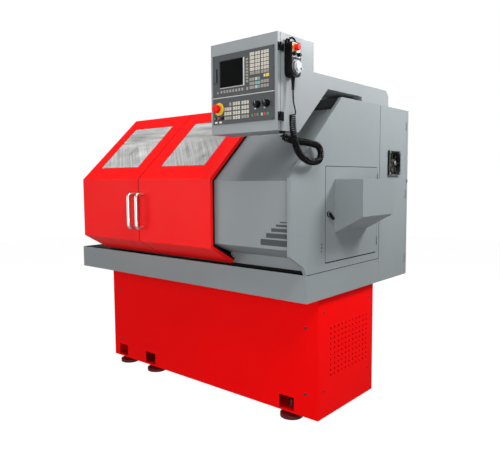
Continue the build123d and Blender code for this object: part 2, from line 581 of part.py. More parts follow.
NODES["pendant_axis_knob"] = small_knob(-36, 1844)
NODES["pendant_step_knob"] = small_knob(-1, 1844)
PW_Y, PW_Z, PW_R = -16.0, 1790.0, 27.0
pw = cyl("x", 43.3, 48, PW_Y, PW_Z, 10) + cyl("x", 47, 56, PW_Y, PW_Z, PW_R)
pw += cyl("x", 56, 59, PW_Y, PW_Z, 19) + cyl("x", 55, 64, PW_Y + 20, PW_Z - 6, 4.5)
NODES["pendant_handwheel"] = pw

# --- pendant cord ---------------------------------------------------------------------
LEAD_D, COIL_D = 8.0, 33.6
BOOT_X, BOOT_Y, BOOT_Z = 23.0, -12.0, 1692.0
GLAND_X, GLAND_Y, GLAND_Z = -16.0, -40.0, 1503.0
boot = cone("z", BOOT_Z, 1735, BOOT_X, BOOT_Y, 5.5, 8) + cyl("z", 1735, 1746, BOOT_X, BOOT_Y, 9)
gland = cyl("z", GLAND_Z, 1506, GLAND_X, GLAND_Y, 12) + cyl("z", 1505, BOX_Z0, GLAND_X, GLAND_Y, 15)
NODES["cord_fittings"] = [boot, gland]

LEAD = [(BOOT_X, BOOT_Y, BOOT_Z), (23.0, -12.0, 1664.0), (28.5, -14.7, 1632.0),
        (44.0, -23.3, 1602.0), (44.0, -23.3, 1583.4)]
COIL = [(34.0, -31.9, 1583.4), (34.0, -31.9, 1563.0), (38.0, -34.3, 1530.3), (42.5, -35.3, 1499.3),
        (45.5, -32.6, 1468.1), (46.0, -19.6, 1437.8), (44.0, 10.2, 1407.3), (41.0, 55.5, 1385.6),
        (37.0, 118.0, 1373.2), (34.0, 174.2, 1380.3), (32.8, 191.9, 1390.6), (31.6, 202.2, 1408.3),
        (30.4, 202.2, 1428.7), (29.0, 191.9, 1446.4), (27.5, 174.2, 1456.7), (22.5, 140.0, 1461.5),
        (17.0, 104.4, 1466.6), (11.0, 56.6, 1467.4),
        (2.0, 2.8, 1472.1), (-16.0, -40.0, 1489.0), (GLAND_X, GLAND_Y, GLAND_Z)]


def tube(pts, d, name):
    v = [Vector(*p) for p in pts]
    radii = []
    for i, (a, b, c) in enumerate(zip(v, v[1:], v[2:])):
        turn = math.radians((b - a).get_angle(c - b))
        # an end segment belongs to one corner only, so its whole length counts
        before = (b - a).length * (2 if i == 0 else 1)
        after = (c - b).length * (2 if i == len(v) - 3 else 1)
        radii.append(0.45 * min(before, after) / math.tan(turn / 2))
    path = FilletPolyline(*pts, radius=radii)
    t = sweep(Plane(origin=pts[0], z_dir=(v[1] - v[0]).normalized()) * Circle(d / 2), path=path)
    length = path.length
    print(name, "length %.1f" % length, "radii", [round(r, 1) for r in radii],
          "volume %.1f of %.1f" % (t.volume, length * math.pi * d * d / 4))
    return t


NODES["straight_cord"] = tube(LEAD, LEAD_D, "straight_cord")
NODES["coiled_cord"] = tube(COIL, COIL_D, "coiled_cord")

# --- export -----------------------------------------------------------------------------
os.makedirs("parts", exist_ok=True)
for name, shape in NODES.items():
    if isinstance(shape, list):
        solids = [s for p in shape for s in p.solids()]
        shape = Compound(children=solids)
    else:
        solids = shape.solids()
        shape = solids[0] if len(solids) == 1 else Compound(children=solids)
    export_step(Pos(-OX, -OY, 0) * shape, "parts/%s.step" % name)
print(len(NODES), "nodes")
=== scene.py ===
import bpy
import bmesh
import math
from mathutils import Matrix, Vector, noise


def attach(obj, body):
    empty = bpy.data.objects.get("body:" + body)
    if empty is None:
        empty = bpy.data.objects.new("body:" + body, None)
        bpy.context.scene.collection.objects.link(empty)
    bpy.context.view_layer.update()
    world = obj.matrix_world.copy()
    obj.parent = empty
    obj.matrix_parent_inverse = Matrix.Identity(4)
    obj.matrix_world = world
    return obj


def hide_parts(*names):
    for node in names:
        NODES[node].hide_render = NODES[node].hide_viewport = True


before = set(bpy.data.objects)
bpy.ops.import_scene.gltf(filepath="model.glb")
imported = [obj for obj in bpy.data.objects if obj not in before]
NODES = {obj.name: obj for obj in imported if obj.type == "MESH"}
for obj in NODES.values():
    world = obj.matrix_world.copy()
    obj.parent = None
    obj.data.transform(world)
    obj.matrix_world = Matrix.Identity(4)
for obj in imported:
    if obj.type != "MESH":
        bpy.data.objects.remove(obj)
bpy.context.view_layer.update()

# Working coordinates as in the CAD: millimetres, X = 0 at the right end plane,
# Y = 0 at the front plane of the doors, Z = 0 on the floor.
OX, OY = -881.0, 559.0


def P(x, y, z):
    return Vector(((x - OX) / 1000.0, (y - OY) / 1000.0, z / 1000.0))


scene = bpy.context.scene

# --- camera ---------------------------------------------------------------------
yaw, pitch, roll = math.radians(40.592), math.radians(4.8724), math.radians(-0.38206)
fwd = Vector((-math.sin(yaw) * math.cos(pitch), math.cos(yaw) * math.cos(pitch), -math.sin(pitch)))
right = Vector((math.cos(yaw), math.sin(yaw), 0.0))
up = right.cross(fwd)
cam_x = math.cos(roll) * right + math.sin(roll) * up
cam_y = -math.sin(roll) * right + math.cos(roll) * up
cam = bpy.data.cameras.new("camera")
cam.lens, cam.sensor_width, cam.sensor_fit = 38.8996, 36.0, "HORIZONTAL"
cam.clip_start, cam.clip_end = 0.05, 100.0
cam_ob = bpy.data.objects.new("camera", cam)
scene.collection.objects.link(cam_ob)
rot = Matrix((cam_x, cam_y, -fwd)).transposed().to_4x4()
cam_ob.matrix_world = Matrix.Translation((2.35043, -2.56015, 1.29849)) @ rot
scene.camera = cam_ob
scene.view_settings.view_transform = "Standard"


# --- material helpers --------------------------------------------------------------
class Mat:
    """A principled material with small helpers for its node tree."""

    def __init__(self, name):
        self.mat = bpy.data.materials.new(name)
        self.mat.use_nodes = True
        self.nt = self.mat.node_tree
        self.bsdf = self.nt.nodes["Principled BSDF"]
        self._coord = None

    def node(self, kind, **props):
        n = self.nt.nodes.new(kind)
        for k, v in props.items():
            setattr(n, k, v)
        return n

    def link(self, a, b):
        self.nt.links.new(a, b)

    def coord(self):
        if self._coord is None:
            self._coord = self.node("ShaderNodeTexCoord").outputs["Object"]
        return self._coord

    def mapped(self, scale):
        m = self.node("ShaderNodeMapping")
        m.inputs["Scale"].default_value = scale
        self.link(self.coord(), m.inputs["Vector"])
        return m.outputs["Vector"]

    def noise(self, scale, detail=2.0, vec=None, rough=0.5):
        n = self.node("ShaderNodeTexNoise")
        n.inputs["Scale"].default_value = scale
        n.inputs["Detail"].default_value = detail
        n.inputs["Roughness"].default_value = rough
        self.link(vec if vec is not None else self.coord(), n.inputs["Vector"])
        return n.outputs["Fac"]

    def ramp(self, fac, stops, interp="LINEAR"):
        r = self.node("ShaderNodeValToRGB")
        r.color_ramp.interpolation = interp
        el = r.color_ramp.elements
        while len(el) < len(stops):
            el.new(0.5)
        for e, (p, c) in zip(el, stops):
            e.position = p
            e.color = (*c, 1.0) if len(c) == 3 else c
        self.link(fac, r.inputs["Fac"])
        return r.outputs["Color"]

    def mix(self, fac, a, b):
        m = self.node("ShaderNodeMix", data_type="RGBA")
        ins = {"f": m.inputs[0], "a": m.inputs[6], "b": m.inputs[7]}
        for k, v in (("f", fac), ("a", a), ("b", b)):
            if isinstance(v, (int, float)):
                ins[k].default_value = v
            elif isinstance(v, (tuple, list)):
                ins[k].default_value = (*v, 1.0) if len(v) == 3 else v
            else:
                self.link(v, ins[k])
        return m.outputs[2]

    def math(self, op, a, b=0.0, clamp=False):
        m = self.node("ShaderNodeMath", operation=op, use_clamp=clamp)
        for i, v in enumerate((a, b)):
            if isinstance(v, (int, float)):
                m.inputs[i].default_value = v
            else:
                self.link(v, m.inputs[i])
        return m.outputs[0]

    def span(self, v, a, b, lo=0.0, hi=1.0, smooth=False):
        m = self.node("ShaderNodeMapRange")
        if smooth:
            m.interpolation_type = "SMOOTHSTEP"
        self.link(v, m.inputs["Value"])
        m.inputs["From Min"].default_value = a
        m.inputs["From Max"].default_value = b
        m.inputs["To Min"].default_value = lo
        m.inputs["To Max"].default_value = hi
        return m.outputs["Result"]

    def xyz(self):
        s = self.node("ShaderNodeSeparateXYZ")
        self.link(self.coord(), s.inputs[0])
        return s.outputs

    def normal(self):
        g = self.node("ShaderNodeTexCoord")
        s = self.node("ShaderNodeSeparateXYZ")
        self.link(g.outputs["Normal"], s.inputs[0])
        return s.outputs

    def bump(self, height, strength, dist):
        b = self.node("ShaderNodeBump")
        b.inputs["Strength"].default_value = strength
        b.inputs["Distance"].default_value = dist
        self.link(height, b.inputs["Height"])
        self.link(b.outputs["Normal"], self.bsdf.inputs["Normal"])

    def set(self, **kw):
        for k, v in kw.items():
            s = self.bsdf.inputs[k.replace("_", " ")]
            if isinstance(v, (int, float)):
                s.default_value = v
            elif isinstance(v, (tuple, list)):
                s.default_value = (*v, 1.0) if len(v) == 3 else v
            else:
                self.link(v, s)
        return self


def shade(c, k):
    return tuple(min(1.0, max(0.0, x * k)) for x in c)


def paint(name, rgb, rough=0.40, var=0.05, peel=0.05, peel_scale=420.0, shine=0.30):
    """Powder coat: orange peel, faint cloudiness and gloss variation."""
    m = Mat(name)
    cloud = m.noise(2.3, 3.0)
    fleck = m.noise(160.0, 2.0)
    both = m.math("ADD", m.math("MULTIPLY", cloud, 0.75), m.math("MULTIPLY", fleck, 0.25))
    m.set(Base_Color=m.ramp(both, [(0.30, shade(rgb, 1 - var)), (0.70, shade(rgb, 1 + var))]),
          Roughness=m.span(m.noise(9.0, 3.0), 0.3, 0.7, rough - 0.06, rough + 0.06), Specular_IOR_Level=shine)
    m.bump(m.noise(peel_scale, 2.0), peel, 0.0006)
    return m


def plastic(name, rgb, rough=0.45, grain=0.12, scale=1500.0, var=0.10, shine=0.30):
    """Moulded plastic with a fine eroded grain."""
    m = Mat(name)
    m.set(Base_Color=m.ramp(m.noise(60.0, 3.0), [(0.3, shade(rgb, 1 - var)), (0.7, shade(rgb, 1 + var))]),
          Roughness=m.span(m.noise(240.0, 2.0), 0.3, 0.7, rough - 0.07, rough + 0.07), Specular_IOR_Level=shine)
    m.bump(m.noise(scale, 2.0), grain, 0.0002)
    return m


def metal(name, rgb, rough=0.28, brush=(1.0, 1.0, 1.0), var=0.07, amount=0.06):
    """Ground or turned metal, brushed along the axis with the small scale."""
    m = Mat(name)
    v = m.mapped(brush)
    n = m.noise(900.0, 3.0, v)
    m.set(Base_Color=m.ramp(m.noise(14.0, 4.0), [(0.3, shade(rgb, 1 - var)), (0.7, shade(rgb, 1 + var))]),
          Metallic=1.0, Roughness=m.span(n, 0.25, 0.75, rough - 0.09, rough + 0.12))
    m.bump(n, amount, 0.0002)
    return m


# --- materials --------------------------------------------------------------------------
RED = (0.93, 0.0085, 0.0085)
GREY = (0.238, 0.264, 0.272)

m_red = paint("red_paint", RED, rough=0.44, var=0.03, shine=0.10)
m_red_base = paint("red_paint_stand", (0.90, 0.0020, 0.0025), rough=0.48, var=0.03, shine=0.035)
m_grey = paint("grey_paint", GREY, rough=0.46, var=0.035)
m_grey_light = paint("grey_paint_box", (0.270, 0.292, 0.304), rough=0.44, var=0.03)
m_black = plastic("black_plastic", (0.0055, 0.0055, 0.006), rough=0.38, shine=0.10)
m_black_soft = plastic("black_rubber", (0.007, 0.007, 0.0075), rough=0.60, grain=0.2, scale=900.0, shine=0.10)
m_cord = plastic("cord_rubber", (0.0022, 0.0022, 0.0024), rough=0.16, grain=0.02, scale=1100.0, shine=0.16)
m_panel = plastic("panel_foil", (0.065, 0.071, 0.074), rough=0.55, grain=0.25, scale=2200.0, var=0.06)
m_estop = plastic("estop_red", (0.84, 0.008, 0.006), rough=0.40, grain=0.05, var=0.05, shine=0.10)
m_yellow = plastic("signal_yellow", (0.70, 0.50, 0.045), rough=0.45, grain=0.08, var=0.06, shine=0.15)
m_orange = plastic("signal_orange", (0.85, 0.27, 0.02), rough=0.38, grain=0.08, var=0.06)
m_key = plastic("key_ivory", (0.62, 0.585, 0.49), rough=0.50, grain=0.15, var=0.05)
m_key_dim = plastic("key_beige", (0.33, 0.30, 0.26), rough=0.52, grain=0.15, var=0.06)
m_key_cyan = plastic("key_cyan", (0.19, 0.42, 0.45), rough=0.50, grain=0.15, var=0.06)
m_key_cyan_pale = plastic("key_pale_blue", (0.38, 0.50, 0.52), rough=0.50, grain=0.15, var=0.06)
m_bezel = plastic("bezel_pale", (0.56, 0.58, 0.57), rough=0.45, grain=0.10, var=0.05)
m_face = plastic("pendant_face", (0.72, 0.71, 0.72), rough=0.45, grain=0.10, var=0.04)
m_key_yellow = plastic("key_yellow", (0.78, 0.52, 0.05), rough=0.48, grain=0.15, var=0.05)
m_key_green = plastic("key_green", (0.02, 0.30, 0.12), rough=0.40, grain=0.10, var=0.08)
m_key_red = plastic("key_red", (0.58, 0.025, 0.03), rough=0.40, grain=0.10, var=0.08)
m_ink = plastic("legend_ink", (0.05, 0.05, 0.055), rough=0.6, grain=0.05)
m_white = plastic("white_plastic", (0.74, 0.74, 0.72), rough=0.45, grain=0.08, var=0.04)
m_chrome = metal("polished_steel", (0.72, 0.73, 0.69), rough=0.34, var=0.02, amount=0.0015)
m_silver = metal("turned_aluminium", (0.36, 0.365, 0.37), rough=0.58, amount=0.02)
m_steel = metal("ground_steel", (0.52, 0.52, 0.53), rough=0.30, brush=(0.05, 1.0, 1.0))
m_steel_turned = metal("turned_steel", (0.50, 0.50, 0.51), rough=0.27, brush=(1.0, 0.08, 0.08), amount=0.09)
m_dark_steel = metal("black_oxide_steel", (0.055, 0.055, 0.06), rough=0.42, amount=0.08)
m_dark_paint = paint("machine_black", (0.026, 0.028, 0.031), rough=0.5, var=0.1)
m_belt = plastic("belt_rubber", (0.016, 0.016, 0.017), rough=0.7, grain=0.3, scale=700.0)
# dark grey brush tone: a brush seal, partly painted shade under the control box arm
m_bristle_shade = plastic("grey_bristle_and_shade", (0.040, 0.043, 0.045), rough=0.8, grain=0.3, scale=600.0, shine=0.05)
m_slate = plastic("slate_film", (0.022, 0.025, 0.034), rough=0.5, grain=0.1, shine=0.12)
m_seam = plastic("grey_sealant", (0.035, 0.038, 0.040), rough=0.7, grain=0.2, shine=0.1)
m_brass = metal("brass", (0.62, 0.42, 0.14), rough=0.34)

# dark red enamel with dust on the feet
m_foot = paint("foot_enamel", (0.115, 0.006, 0.007), rough=0.42, var=0.25, peel=0.10)

# cast bed: grey enamel on the sides, bright ground metal on top of the ways
m_cast = paint("cast_enamel", (0.17, 0.19, 0.20), rough=0.50, var=0.08, peel=0.22, peel_scale=150.0)


def cast_with_ways():
    m = Mat("cast_with_ground_ways")
    z = m.xyz()[2]
    nz = m.normal()[2]
    way = m.math("MULTIPLY", m.span(z, 0.9675, 0.9690), m.span(nz, 0.9, 0.98))
    cloud = m.noise(6.0, 3.0)
    body = m.ramp(cloud, [(0.3, (0.155, 0.172, 0.182)), (0.7, (0.185, 0.205, 0.215))])
    streak = m.noise(260.0, 2.0, m.mapped((0.05, 1.0, 1.0)))
    top = m.ramp(streak, [(0.3, (0.42, 0.42, 0.43)), (0.7, (0.60, 0.60, 0.61))])
    m.set(Base_Color=m.mix(way, body, top), Metallic=way,
          Roughness=m.math("SUBTRACT", 0.52, m.math("MULTIPLY", way, 0.25)))
    m.bump(m.noise(150.0, 2.0), 0.15, 0.0008)
    return m


m_ways = cast_with_ways()


def film(name, seed, gain):
    """Clear guard with a creased protective film: pale bands across, streaks down."""
    m = Mat(name)
    uv = m.node("ShaderNodeTexCoord").outputs["UV"]
    sep = m.node("ShaderNodeSeparateXYZ")
    m.link(uv, sep.inputs[0])
    shift = m.node("ShaderNodeMapping")
    shift.inputs["Location"].default_value = (seed, seed * 0.37, 0.0)
    m.link(uv, shift.inputs["Vector"])
    base = shift.outputs["Vector"]

    def stretched(sx, sy, scale, detail, rough=0.55):
        q = m.node("ShaderNodeMapping")
        q.inputs["Scale"].default_value = (sx, sy, 1.0)
        m.link(base, q.inputs["Vector"])
        return m.noise(scale, detail, q.outputs["Vector"], rough)

    v = sep.outputs[1]
    bands = stretched(0.35, 2.6, 3.2, 4.0)
    fine_bands = stretched(0.8, 9.0, 2.6, 3.0)
    shear = m.node("ShaderNodeCombineXYZ")
    m.link(m.math("ADD", sep.outputs[0], sep.outputs[1]), shear.inputs[0])
    m.link(sep.outputs[1], shear.inputs[1])
    hang = m.node("ShaderNodeMapping")
    hang.inputs["Location"].default_value = (seed * 1.7, seed, 0.0)
    hang.inputs["Scale"].default_value = (9.0, 0.45, 1.0)
    m.link(shear.outputs[0], hang.inputs["Vector"])
    streaks = m.noise(2.6, 4.0, hang.outputs["Vector"], 0.55)
    crumple = stretched(1.6, 1.6, 3.0, 5.0, 0.6)
    upper = m.span(v, 0.38, 0.72, 0.0, 1.0, smooth=True)
    a = m.math("ADD", m.math("MULTIPLY", bands, 0.7), m.math("MULTIPLY", fine_bands, 0.3))
    b = m.math("ADD", m.math("MULTIPLY", streaks, 0.62), m.math("MULTIPLY", crumple, 0.38))
    tone = m.math("ADD", m.math("MULTIPLY", a, upper),
                  m.math("MULTIPLY", b, m.math("SUBTRACT", 1.0, upper)))
    col = m.ramp(tone, [(0.30, shade((0.235, 0.24, 0.24), gain)), (0.44, shade((0.43, 0.43, 0.425), gain)),
                        (0.54, shade((0.60, 0.595, 0.585), gain)), (0.70, shade((0.85, 0.845, 0.835), gain))])
    m.set(Base_Color=col, Roughness=m.span(crumple, 0.3, 0.7, 0.26, 0.44))
    m.bump(tone, 0.35, 0.004)
    return m


def fan_frame():
    """Black moulded frame with a faint mottled tone."""
    m = Mat("fan_frame")
    n = m.noise(80.0, 3.0)
    m.set(Base_Color=m.ramp(n, [(0.3, (0.006, 0.0065, 0.007)), (0.7, (0.011, 0.012, 0.013))]),
          Roughness=m.span(n, 0.3, 0.7, 0.40, 0.55), Specular_IOR_Level=0.12)
    m.bump(m.noise(1200.0, 2.0), 0.12, 0.0002)
    return m


m_blade = plastic("fan_blade", (0.105, 0.092, 0.066), rough=0.40, grain=0.08, var=0.25, shine=0.2)


def glass(name, rgb, rough):
    m = Mat(name)
    m.set(Base_Color=m.ramp(m.noise(5.0, 2.0), [(0.3, shade(rgb, 0.95)), (0.7, rgb)]),
          Roughness=m.span(m.noise(30.0, 3.0), 0.3, 0.7, rough, rough + 0.05),
          Transmission_Weight=0.92, IOR=1.58)
    return m


m_pane = glass("polycarbonate", (0.86, 0.88, 0.88), 0.03)


def screen_glass():
    m = Mat("screen_glass")
    n = m.noise(7.0, 2.0)
    m.set(Base_Color=m.ramp(n, [(0.3, (0.0024, 0.0026, 0.0028)), (0.7, (0.0044, 0.0048, 0.0052))]),
          Roughness=m.span(m.noise(40.0, 3.0), 0.3, 0.7, 0.50, 0.58), Specular_IOR_Level=0.03)
    m.bump(m.noise(2600.0, 1.0), 0.05, 0.0001)
    return m


m_screen = screen_glass()


# --- mesh helpers --------------------------------------------------------------------------
class Geo:
    """Collects closed shapes in working coordinates (mm) into one mesh."""

    def __init__(self):
        self.bm = bmesh.new()

    def _face(self, vs):
        try:
            return self.bm.faces.new(vs)
        except ValueError:
            return None

    def prism(self, pts, axis, a, b):
        """Closed outline of (u, v) pairs pushed along an axis from a to b."""
        put = {"x": lambda p, s: P(s, p[0], p[1]), "y": lambda p, s: P(p[0], s, p[1]),
               "z": lambda p, s: P(p[0], p[1], s)}[axis]
        lo = [self.bm.verts.new(put(p, a)) for p in pts]
        hi = [self.bm.verts.new(put(p, b)) for p in pts]
        n = len(pts)
        self._face(lo[::-1])
        self._face(hi)
        for i in range(n):
            self._face([lo[i], lo[(i + 1) % n], hi[(i + 1) % n], hi[i]])
        return self

    def box(self, x0, x1, y0, y1, z0, z1):
        return self.prism([(x0, y0), (x1, y0), (x1, y1), (x0, y1)], "z", z0, z1)

    def cap(self, x0, x1, z0, z1, y_back, y_front, inset):
        """Key cap on the panel: straight skirt, then a smaller dished top."""
        ym = y_back + 0.45 * (y_front - y_back)
        rows = [(x0, x1, z0, z1, y_back), (x0, x1, z0, z1, ym),
                (x0 + inset, x1 - inset, z0 + inset, z1 - inset, y_front)]
        rings = []
        for a, b, c, d, y in rows:
            rings.append([self.bm.verts.new(P(*q)) for q in
                          ((a, y, c), (b, y, c), (b, y, d), (a, y, d))])
        self._face(rings[0])
        for r0, r1 in zip(rings, rings[1:]):
            for i in range(4):
                self._face([r0[i], r1[i], r1[(i + 1) % 4], r0[(i + 1) % 4]])
        self._face(rings[-1][::-1])
        return self

    def lathe(self, axis, u, v, profile, n=40):
        """Turned shape: profile of (position, radius), closed on the axis or as a ring."""
        rings = []
        for s, r in profile:
            if r < 1e-6:
                c = {"x": P(s, u, v), "y": P(u, s, v), "z": P(u, v, s)}[axis]
                rings.append([self.bm.verts.new(c)])
                continue
            ring = []
            for k in range(n):
                t = 2 * math.pi * k / n
                a, b = u + r * math.cos(t), v + r * math.sin(t)
                c = {"x": P(s, a, b), "y": P(a, s, b), "z": P(a, b, s)}[axis]
                ring.append(self.bm.verts.new(c))
            rings.append(ring)
        for r0, r1 in zip(rings, rings[1:]):
            if len(r0) == 1 and len(r1) == 1:
                continue
            for k in range(n):
                j = (k + 1) % n
                if len(r0) == 1:
                    self._face([r0[0], r1[k], r1[j]])
                elif len(r1) == 1:
                    self._face([r0[k], r1[0], r0[j]])
                else:
                    self._face([r0[k], r1[k], r1[j], r0[j]])
        return self

    def ring(self, axis, u, v, a, b, ro, ri, n=48, edge=0.0):
        """Flat ring from a to b with an outer and an inner radius and broken edges."""
        e = edge
        s = 1 if b > a else -1
        prof = [(a, ri), (a, ro), (b - s * e, ro), (b, ro - e), (b, ri + e), (b - s * e, ri)]
        rings = []
        for p, r in prof:
            ring = []
            for k in range(n):
                t = 2 * math.pi * k / n
                c, d = u + r * math.cos(t), v + r * math.sin(t)
                ring.append(self.bm.verts.new({"x": P(p, c, d), "y": P(c, p, d), "z": P(c, d, p)}[axis]))
            rings.append(ring)
        for r0, r1 in zip(rings, rings[1:] + rings[:1]):
            for k in range(n):
                j = (k + 1) % n
                self._face([r0[k], r1[k], r1[j], r0[j]])
        return self

    def screw(self, axis, u, v, face, out, r=5.0, n=20):
        """Button-head screw with a hexagon socket, standing out of a face by `out`."""
        s = 1 if out > 0 else -1
        h = abs(out)
        self.lathe(axis, u, v, [(face - s * 0.5, 0.0), (face - s * 0.5, r), (face + s * h * 0.35, r),
                                (face + s * h * 0.8, r * 0.82), (face + s * h, r * 0.55),
                                (face + s * h, r * 0.42), (face + s * h * 0.35, r * 0.40),
                                (face + s * h * 0.35, 0.0)], n)
        return self

    def tube(self, pts, r, n=12, closed=False):
        """Round bar through points (mm) with ends closed."""
        pts = [P(*p) for p in pts]
        m = len(pts)
        prev = None
        rings = []
        for i, p in enumerate(pts):
            a = pts[(i - 1) % m] if closed else pts[max(i - 1, 0)]
            b = pts[(i + 1) % m] if closed else pts[min(i + 1, m - 1)]
            d = (b - a).normalized()
            if prev is None:
                ref = Vector((0, 0, 1)) if abs(d.z) < 0.9 else Vector((1, 0, 0))
                prev = d.cross(ref).normalized()
            side = (prev - d * prev.dot(d)).normalized()
            prev = side
            oth = d.cross(side)
            rings.append([self.bm.verts.new(p + (side * math.cos(t) + oth * math.sin(t)) * r / 1000.0)
                          for t in (2 * math.pi * k / n for k in range(n))])
        pairs = list(zip(rings, rings[1:])) + ([(rings[-1], rings[0])] if closed else [])
        for r0, r1 in pairs:
            for k in range(n):
                j = (k + 1) % n
                self._face([r0[k], r0[j], r1[j], r1[k]])
        if not closed:
            self._face(rings[0][::-1])
            self._face(rings[-1])
        return self

    def done(self, name, mat, body, bevel=0.0, seg=2, angle=38):
        bmesh.ops.recalc_face_normals(self.bm, faces=self.bm.faces)
        me = bpy.data.meshes.new(name)
        self.bm.to_mesh(me)
        self.bm.free()
        return finish_piece(name, me, mat, body, bevel, seg, angle)


def finish_piece(name, me, mat, body, bevel=0.0, seg=2, angle=38):
    ob = bpy.data.objects.new(name, me)
    scene.collection.objects.link(ob)
    for p in me.polygons:
        p.use_smooth = True
    me.set_sharp_from_angle(angle=math.radians(angle))
    me.materials.append(mat.mat)
    if bevel:
        b = ob.modifiers.new("edges", "BEVEL")
        b.width, b.segments, b.limit_method = bevel / 1000.0, seg, "ANGLE"
        b.angle_limit = math.radians(40)
        b.harden_normals = True
        b.use_clamp_overlap = True
    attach(ob, body)
    return ob


def rounded(x0, x1, z0, z1, r, n=6):
    """Outline of a rectangle with rounded corners."""
    out = []
    for cx, cz, a0 in ((x1 - r, z1 - r, 0), (x0 + r, z1 - r, 90), (x0 + r, z0 + r, 180), (x1 - r, z0 + r, 270)):
        for k in range(n + 1):
            t = math.radians(a0 + 90.0 * k / n)
            out.append((cx + r * math.cos(t), cz + r * math.sin(t)))
    return out


# --- pendant cord -----------------------------------------------------------------------------
LEAD = [(23.0, -12.0, 1692.0), (23.0, -12.0, 1664.0), (28.5, -14.7, 1632.0),
        (44.0, -23.3, 1602.0), (44.0, -23.3, 1583.4)]
COIL = [(34.0, -31.9, 1583.4), (34.0, -31.9, 1563.0), (38.0, -34.3, 1530.3), (42.5, -35.3, 1499.3),
        (45.5, -32.6, 1468.1), (46.0, -19.6, 1437.8), (44.0, 10.2, 1407.3), (41.0, 55.5, 1385.6),
        (37.0, 118.0, 1373.2), (34.0, 174.2, 1380.3), (32.8, 191.9, 1390.6), (31.6, 202.2, 1408.3),
        (30.4, 202.2, 1428.7), (29.0, 191.9, 1446.4), (27.5, 174.2, 1456.7), (22.5, 140.0, 1461.5),
        (17.0, 104.4, 1466.6), (11.0, 56.6, 1467.4),
        (2.0, 2.8, 1472.1), (-7.0, -18.6, 1480.5), (-16.0, -40.0, 1489.0),
        (-16.0, -40.0, 1503.0)]
WIRE_D, COIL_OD, PITCH = 6.8, 33.4, 9.2


def nurbs(name, pts, res):
    cu = bpy.data.curves.new(name, "CURVE")
    cu.dimensions = "3D"
    sp = cu.splines.new("NURBS")
    sp.points.add(len(pts) - 1)
    for q, p in zip(sp.points, pts):
        q.co = (*p, 1.0)
    sp.order_u = 3
    sp.use_endpoint_u = True
    sp.resolution_u = res
    cu.resolution_u = res
    return cu


def read_line(pts):
    """Points along the route's own smooth line."""
    ob = bpy.data.objects.new("route_line", nurbs("route_line", pts, 24))
    scene.collection.objects.link(ob)
    bpy.context.view_layer.update()
    me = bpy.data.meshes.new_from_object(ob.evaluated_get(bpy.context.evaluated_depsgraph_get()))
    line = [v.co.copy() for v in me.vertices]
    cu = ob.data
    bpy.data.objects.remove(ob)
    bpy.data.curves.remove(cu)
    bpy.data.meshes.remove(me)
    return line


def helix(line, radius, pitch, per_turn, lead_in, bend_in, bend_out, radius_out, arrive):
    """Points winding round a line. The wire comes down along the coil's side at arrive and bends into the
    winding; at the end the winding narrows and the wire bends up along the line."""
    cum = [0.0]
    for a, b in zip(line, line[1:]):
        cum.append(cum[-1] + (b - a).length)
    total = cum[-1]
    turns = round((total - lead_in - bend_out) / pitch)
    count = turns * per_turn
    out = []
    side = None
    i = 0
    for k in range(count + 1):
        s = lead_in + (total - lead_in - bend_out) * k / count
        while i < len(cum) - 2 and cum[i + 1] < s:
            i += 1
        f = (s - cum[i]) / max(cum[i + 1] - cum[i], 1e-9)
        p = line[i].lerp(line[i + 1], f)
        d0 = (line[i + 1] - line[i]).normalized()
        d1 = (line[min(i + 2, len(line) - 1)] - line[min(i + 1, len(line) - 2)]).normalized()
        d = d0.lerp(d1, f).normalized()
        if side is None:
            turn = bend_in / radius
            side = arrive * math.cos(turn) + d.cross(arrive) * math.sin(turn)
            oth = d.cross(side)
            for j in range(7):
                q = math.radians(15.0 * j)
                t = -bend_in * math.cos(q) / radius
                out.append(p - d * bend_in * (1 - math.sin(q)) + (side * math.cos(t) + oth * math.sin(t)) * radius)
            out.pop()
        side = (side - d * side.dot(d)).normalized()
        oth = d.cross(side)
        r = radius_out + (radius - radius_out) * min(1.0, (count - k) / (1.2 * per_turn))
        t = 2 * math.pi * k / per_turn
        out.append(p + (side * math.cos(t) + oth * math.sin(t)) * r)
    for j in range(1, 7):
        q = math.radians(15.0 * j)
        t = 2 * math.pi * turns + bend_out * math.sin(q) / radius_out
        out.append(p + d * bend_out * (1 - math.cos(q)) + (side * math.cos(t) + oth * math.sin(t)) * radius_out)
    out.append(out[-1] + d * 0.005)
    return out


lead_m = [P(*p) for p in LEAD]
coil_line = read_line([P(*p) for p in COIL])
winding = helix(coil_line, (COIL_OD - WIRE_D) / 2000.0, PITCH / 1000.0, 12, 0.0036, 0.011, 0.008, 0.0078,
                Vector((0.76, 0.65, 0.0)).normalized())
cord_points = lead_m[:-1] + winding
cord_curve = nurbs("pendant_cord", cord_points, 3)
cord_curve.bevel_depth = WIRE_D / 2000.0
cord_curve.bevel_resolution = 3
cord_curve.use_fill_caps = True
cord_curve.materials.append(m_cord.mat)
cord = bpy.data.objects.new("pendant_cord", cord_curve)
scene.collection.objects.link(cord)
cord_line = read_line(cord_points)
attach(cord, "machine")
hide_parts("straight_cord", "coiled_cord")

